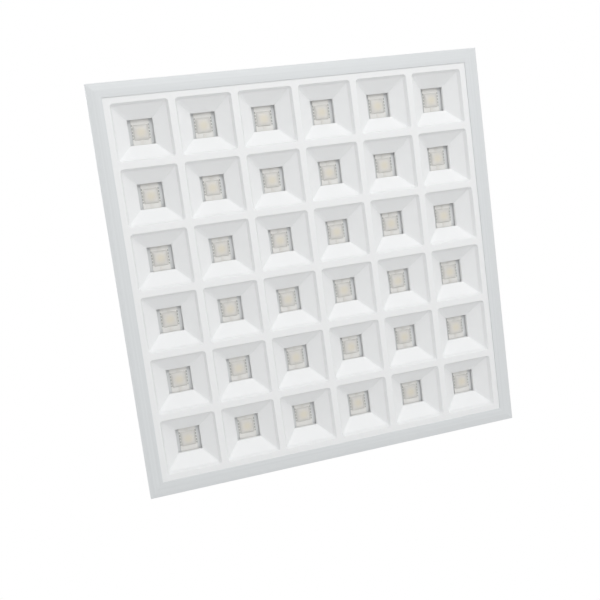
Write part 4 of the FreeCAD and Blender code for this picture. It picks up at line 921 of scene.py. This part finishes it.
class TROFFER_OT_inlet(bpy.types.Operator):
    """Model the cable gland, its nut and the earth stud"""
    bl_idname = "troffer.inlet"
    bl_label = "Cable inlet"

    def execute(self, context):
        axis = Vector((0, GLAND_Z * MM))
        bm = bmesh.new()
        cap = lathe(bm, (0, *axis), [
            (4.25, -139.4), (4.7, -140.0), (6.6, -140.0), (7.6, -139.3), (8.4, -137.6), (8.6, -136.4), (8.6, -130.6),
            (8.3, -130.2), (7.9, -130.0), (7.9, -116.6), (7.4, -116.0), (4.25, -116.0)], steps=48, matrix=ACROSS_X)
        # grooves round the cap, for the fingers
        for vertex in cap:
            away = vertex.co.yz - axis
            part = round(math.degrees(math.atan2(away.y, away.x)) / 7.5) % 8
            if part in (0, 1, 7) and vertex.co.x < -130.3 * MM and away.length > 7.0 * MM:
                vertex.co.yz = axis + away * (0.93 if part == 0 else 0.965)
        # the gland's own hexagon outside the wall, and the nut's inside
        corner = 9.0 / math.cos(math.pi / 6)
        for low, high in ((-129.95, -125.05), (-124.15, -120.25)):
            lathe(bm, (0, *axis), [(7.5, low), (corner - 0.7, low), (corner, low + 0.5), (corner, high - 0.5),
                                   (corner - 0.7, high), (7.5, high)], steps=6, matrix=ACROSS_X)
        finish_piece("gland", bm, "gland_nylon", ["cable_gland", "gland_nut"], sharp=28.0)
        # earth stud: a threaded rod, a hexagon nut and a washer
        bm = bmesh.new()
        place = (-104.0 * MM, 32.0 * MM, BOX_FLOOR * MM)
        thread = [(2.0 - 0.25 * (step % 2), 0.35 * step) for step in range(31)]
        for profile, steps in (
                ([(0.0, 0.0), *thread, (1.5, 11.0), (0.0, 11.0)], 20),
                ([(2.05, 0.8), (3.7, 0.8), (4.04, 1.1), (4.04, 2.9), (3.7, 3.2), (2.05, 3.2)], 6),
                ([(2.05, 0.0), (4.6, 0.0), (4.6, 0.7), (2.05, 0.7)], 32)):
            lathe(bm, place, profile, steps=steps)
        finish_piece("earth_terminal", bm, "earth_brass", ["earth_stud"], sharp=28.0)
        return {"FINISHED"}


class TROFFER_OT_terminals(bpy.types.Operator):
    """Model the lever terminals and the light-colour switch"""
    bl_idname = "troffer.terminals"
    bl_label = "Terminals and switch"

    def execute(self, context):
        for node, body, slot, width in (
                ("terminal_block", "housing", "terminal_grey", 0.35), ("switch_body", "housing", "switch_black", 0.3),
                ("switch_slider", "slider", "switch_white", 0.4)):
            softened_copy(node + "_moulding", node, slot, width, body)
        # levers with a finger rib at their free end
        for number, y in enumerate((-12.0, 0.0, 12.0), start=1):
            bm = copy_of(f"terminal_lever_{number}")
            box(bm, (-79.3 * MM, (y - 3.6) * MM, 46.3 * MM), (-77.6 * MM, (y + 3.6) * MM, 46.95 * MM))
            lever = finish_piece(f"lever_{number}_moulding", bm, "lever_orange", [f"terminal_lever_{number}"],
                                 f"lever_{number}", recalculate=False)
            soften(lever, 0.25)
        return {"FINISHED"}


class TROFFER_OT_driver(bpy.types.Operator):
    """Model the components on the driver's board"""
    bl_idname = "troffer.driver"
    bl_label = "Driver"

    def execute(self, context):
        softened_copy("transformer_ferrite", "transformer_core", "ferrite", 0.5)
        bm = bmesh.new()
        low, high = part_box("transformer_winding")
        middle, half = (low + high) / 2, (high - low) / 2
        stack(bm, middle.xy, [
            (4.25 * MM, 6.25 * MM, 0.8 * MM, low.z), (half.x - 2.0 * MM, half.y - 2.0 * MM, 3.5 * MM, low.z),
            (half.x, half.y, 5.0 * MM, low.z + 1.2 * MM), (half.x, half.y, 5.0 * MM, high.z - 1.2 * MM),
            (half.x - 2.0 * MM, half.y - 2.0 * MM, 3.5 * MM, high.z), (4.25 * MM, 6.25 * MM, 0.8 * MM, high.z)])
        finish_piece("transformer_coil", bm, "winding_tape", ["transformer_winding"])
        bm = bmesh.new()
        for y in (-20.0, 0.0, 20.0):
            lathe(bm, (86.0 * MM, y * MM, DRIVER_DECK * MM), [
                (0.0, 0.0), (7.2, 0.0), (8.0, 0.8), (8.0, 3.0), (7.4, 3.5), (8.0, 4.0), (8.0, 16.2), (7.5, 17.0),
                (6.4, 17.0), (6.2, 16.7), (0.0, 16.7)], steps=32)
        finish_piece("capacitor_cans", bm, "capacitor_sleeve", ["capacitors"])
        # small components between the large ones: place, half sides, bottom and top
        black, white, legs, beige = bmesh.new(), bmesh.new(), bmesh.new(), bmesh.new()
        for bm, x, y, half_x, half_y, low, high in (
                (black, -24.0, 22.0, 7.5, 1.9, 43.8, 54.8), (black, 62.0, -6.0, 5.0, 2.2, 44.6, 57.6),
                (black, 30.0, 21.0, 3.0, 2.2, 40.9, 42.6), (black, 52.0, -24.0, 3.0, 2.2, 40.9, 42.6),
                (white, -28.0, -17.0, 3.2, 7.0, 40.7, 52.4), (white, 56.0, 20.0, 5.5, 2.8, 40.7, 50.4)):
            edge = 0.1 * min(half_x, half_y) + 0.1
            stack(bm, (x * MM, y * MM), mm_levels([
                (half_x - edge, half_y - edge, 0.3, low), (half_x, half_y, 0.4, low + edge),
                (half_x, half_y, 0.4, high - edge), (half_x - edge, half_y - edge, 0.3, high)]), segments=2)
        feet = [(-24.0 + step, 22.0, 44.0) for step in (-5.7, -1.9, 1.9, 5.7)]
        feet += [(62.0 + step, -6.0, 44.8) for step in (-2.5, 0.0, 2.5)]
        feet += [(x + step, y + side, 41.5) for x, y in ((30.0, 21.0), (52.0, -24.0)) for side in (-2.4, 2.4)
                 for step in (-1.9, -0.65, 0.65, 1.9)]
        for x, y, top in feet:
            box(legs, ((x - 0.25) * MM, (y - 0.45) * MM, DRIVER_DECK * MM),
                ((x + 0.25) * MM, (y + 0.45) * MM, top * MM))
        for x in (34.0, 38.2, 42.4, 46.6):
            lathe(beige, (x * MM, 2.0 * MM, 42.1 * MM), [
                (0.0, -3.3), (0.9, -3.3), (1.35, -2.9), (1.35, -1.9), (1.1, -1.6), (1.1, 1.6), (1.35, 1.9),
                (1.35, 2.9), (0.9, 3.3), (0.0, 3.3)], steps=16, matrix=ACROSS_Y)
            lathe(legs, (x * MM, 2.0 * MM, 42.1 * MM), [(0.0, -5.3), (0.3, -5.3), (0.3, 5.3), (0.0, 5.3)], steps=8,
                  matrix=ACROSS_Y)
            for y in (-3.0, 7.0):
                lathe(legs, (x * MM, y * MM, DRIVER_DECK * MM), [(0.0, 0.0), (0.3, 0.0), (0.3, 1.75), (0.0, 1.75)],
                      steps=8)
        for name, bm, slot in (("driver_black_parts", black, "switch_black"),
                               ("driver_film_capacitors", white, "connector_white"),
                               ("driver_legs", legs, "zinc_screw"), ("driver_resistors", beige, "key_nylon")):
            finish_piece(name, bm, slot)
        # choke: a drum core and its winding
        for name, slot, profile in (
                ("driver_choke", "ferrite", ((0.0, 0.0), (6.0, 0.0), (6.4, 0.4), (6.4, 1.6), (4.6, 2.0), (4.6, 8.8),
                                             (6.4, 9.2), (6.4, 10.4), (6.0, 10.8), (0.0, 10.8))),
                ("driver_choke_winding", "winding_tape", ((4.7, 2.1), (5.7, 2.1), (6.0, 2.4), (6.0, 8.4), (5.7, 8.7),
                                                          (4.7, 8.7)))):
            bm = bmesh.new()
            lathe(bm, (39.0 * MM, -20.0 * MM, DRIVER_DECK * MM), profile, steps=32)
            finish_piece(name, bm, slot)
        return {"FINISHED"}


def seen_rays(tree):
    """1 on what the camera, a shiny surface or glass sees, and 0 on what only lights the object."""
    rays = add_node(tree, "ShaderNodeLightPath")
    seen = rays.outputs["Is Camera Ray"]
    for kind in ("Is Glossy Ray", "Is Transmission Ray"):
        seen = add_node(tree, "ShaderNodeMath", {"operation": "MAXIMUM"}, {0: seen, 1: rays.outputs[kind]})
    return seen


class TROFFER_OT_stage(bpy.types.Operator):
    """Set the pale floor, the soft lamps, the white surroundings and the camera"""
    bl_idname = "troffer.stage"
    bl_label = "Stage"

    def execute(self, context):
        scene = context.scene
        stage = scene.troffer_stage
        # floor, 24 m square
        bm = bmesh.new()
        rectangle(bm, (0, 0), 12.0, 12.0, -stage.floor_drop)
        mesh = bpy.data.meshes.new("floor")
        bm.to_mesh(mesh)
        bm.free()
        floor = bpy.data.objects.new("floor", mesh)
        scene.collection.objects.link(floor)
        # a pale matt floor; the camera and every mirror see it 70% white near the object, where its shadow lies,
        # and wholly white from 7 m on
        material, tree, shader, place = new_material("pale floor", tuple(scene.troffer_colours.floor), 0.9)
        mesh.materials.append(material)
        flat = add_node(tree, "ShaderNodeVectorMath", {"operation": "MULTIPLY", 1: (1.0, 1.0, 0.0)}, {0: place})
        away = add_node(tree, "ShaderNodeVectorMath", {"operation": "LENGTH"}, {0: flat})
        share = add_node(tree, "ShaderNodeMapRange",
                         {"interpolation_type": "SMOOTHSTEP", "From Min": 1.0, "From Max": 7.0, "To Min": 0.7,
                          "To Max": 1.0}, {"Value": away.outputs["Value"]})
        white_seen = add_node(tree, "ShaderNodeMath", {"operation": "MULTIPLY"}, {0: seen_rays(tree), 1: share})
        white = add_node(tree, "ShaderNodeEmission", {"Color": (1, 1, 1, 1), "Strength": 1.0})
        mixed = add_node(tree, "ShaderNodeMixShader", {}, {0: white_seen, 1: shader, 2: white})
        tree.links.new(mixed.outputs[0], tree.nodes["Material Output"].inputs[0])
        # surroundings
        world = bpy.data.worlds.new("surroundings")
        scene.world = world
        world.use_nodes = True
        tree = world.node_tree
        strength = add_node(tree, "ShaderNodeMapRange", {"To Min": stage.ambient, "To Max": 1.0},
                            {"Value": seen_rays(tree)})
        sky = tree.nodes["Background"]
        sky.inputs["Color"].default_value = (1, 1, 1, 1)
        tree.links.new(strength.outputs[0], sky.inputs["Strength"])
        # lamps: the main one is up the photograph and a little to its right, in front of the grid
        for name, place, width, power in (("key", (0.9, -2.6, -2.2), 1.8, stage.key_power),
                                          ("fill", (0.2, -1.1, -2.4), 1.2, stage.fill_power),
                                          ("above", (-1.6, -1.2, 2.0), 1.6, stage.top_power)):
            lamp = bpy.data.lights.new(name, "AREA")
            lamp.energy = power
            lamp.size = width
            holder = bpy.data.objects.new(name, lamp)
            holder.location = place
            holder.rotation_euler = (-Vector(place)).to_track_quat("-Z", "Y").to_euler()
            holder.visible_camera = False
            scene.collection.objects.link(holder)
        # camera, solved from the rim's corners and the windows' places in the photograph
        eye = bpy.data.cameras.new("camera")
        eye.lens = stage.focal_length
        eye.sensor_width = 36.0
        holder = bpy.data.objects.new("camera", eye)
        right = Vector((0.95057, 0.13044, -0.28178))
        down = Vector((-0.16242, 0.98231, -0.09319))
        forward = right.cross(down)
        turned = Matrix((right, -down, -forward)).transposed().to_4x4()
        holder.matrix_world = Matrix.Translation((-0.372, -0.1257, -1.2167)) @ turned
        scene.collection.objects.link(holder)
        scene.camera = holder
        scene.view_settings.view_transform = "Standard"
        return {"FINISHED"}


OPERATORS = (TROFFER_OT_finishes, TROFFER_OT_rim, TROFFER_OT_louvre, TROFFER_OT_light_source, TROFFER_OT_pan,
             TROFFER_OT_fasteners, TROFFER_OT_hangers, TROFFER_OT_wiring_box, TROFFER_OT_inlet,
             TROFFER_OT_terminals, TROFFER_OT_driver, TROFFER_OT_stage)


class TROFFER_PT_panel(bpy.types.Panel):
    """Lists the light's pieces and what can be changed on them"""
    bl_idname = "TROFFER_PT_panel"
    bl_label = "Troffer light"
    bl_space_type = "VIEW_3D"
    bl_region_type = "UI"
    bl_category = "Troffer"

    def draw(self, context):
        for group in (context.scene.troffer_shape, context.scene.troffer_colours, context.scene.troffer_stage):
            column = self.layout.column(align=True)
            for name in group.bl_rna.properties.keys():
                if name not in ("rna_type", "name"):
                    column.prop(group, name)
        for operator in OPERATORS:
            self.layout.operator(operator.bl_idname)


GROUPS = (("troffer_shape", TrofferShape), ("troffer_colours", TrofferColours), ("troffer_stage", TrofferStage))


def register():
    """Registers the settings, the operators and the panel."""
    for name, group in GROUPS:
        bpy.utils.register_class(group)
        setattr(bpy.types.Scene, name, PointerProperty(type=group))
    for item in (*OPERATORS, TROFFER_PT_panel):
        bpy.utils.register_class(item)


def unregister():
    """Takes them all away again."""
    for item in (TROFFER_PT_panel, *OPERATORS):
        bpy.utils.unregister_class(item)
    for name, group in GROUPS:
        delattr(bpy.types.Scene, name)
        bpy.utils.unregister_class(group)


def main():
    """Builds the light and its stage."""
    register()
    for operator in OPERATORS:
        getattr(bpy.ops.troffer, operator.bl_idname.partition(".")[2])()


if __name__ == "__main__":
    main()
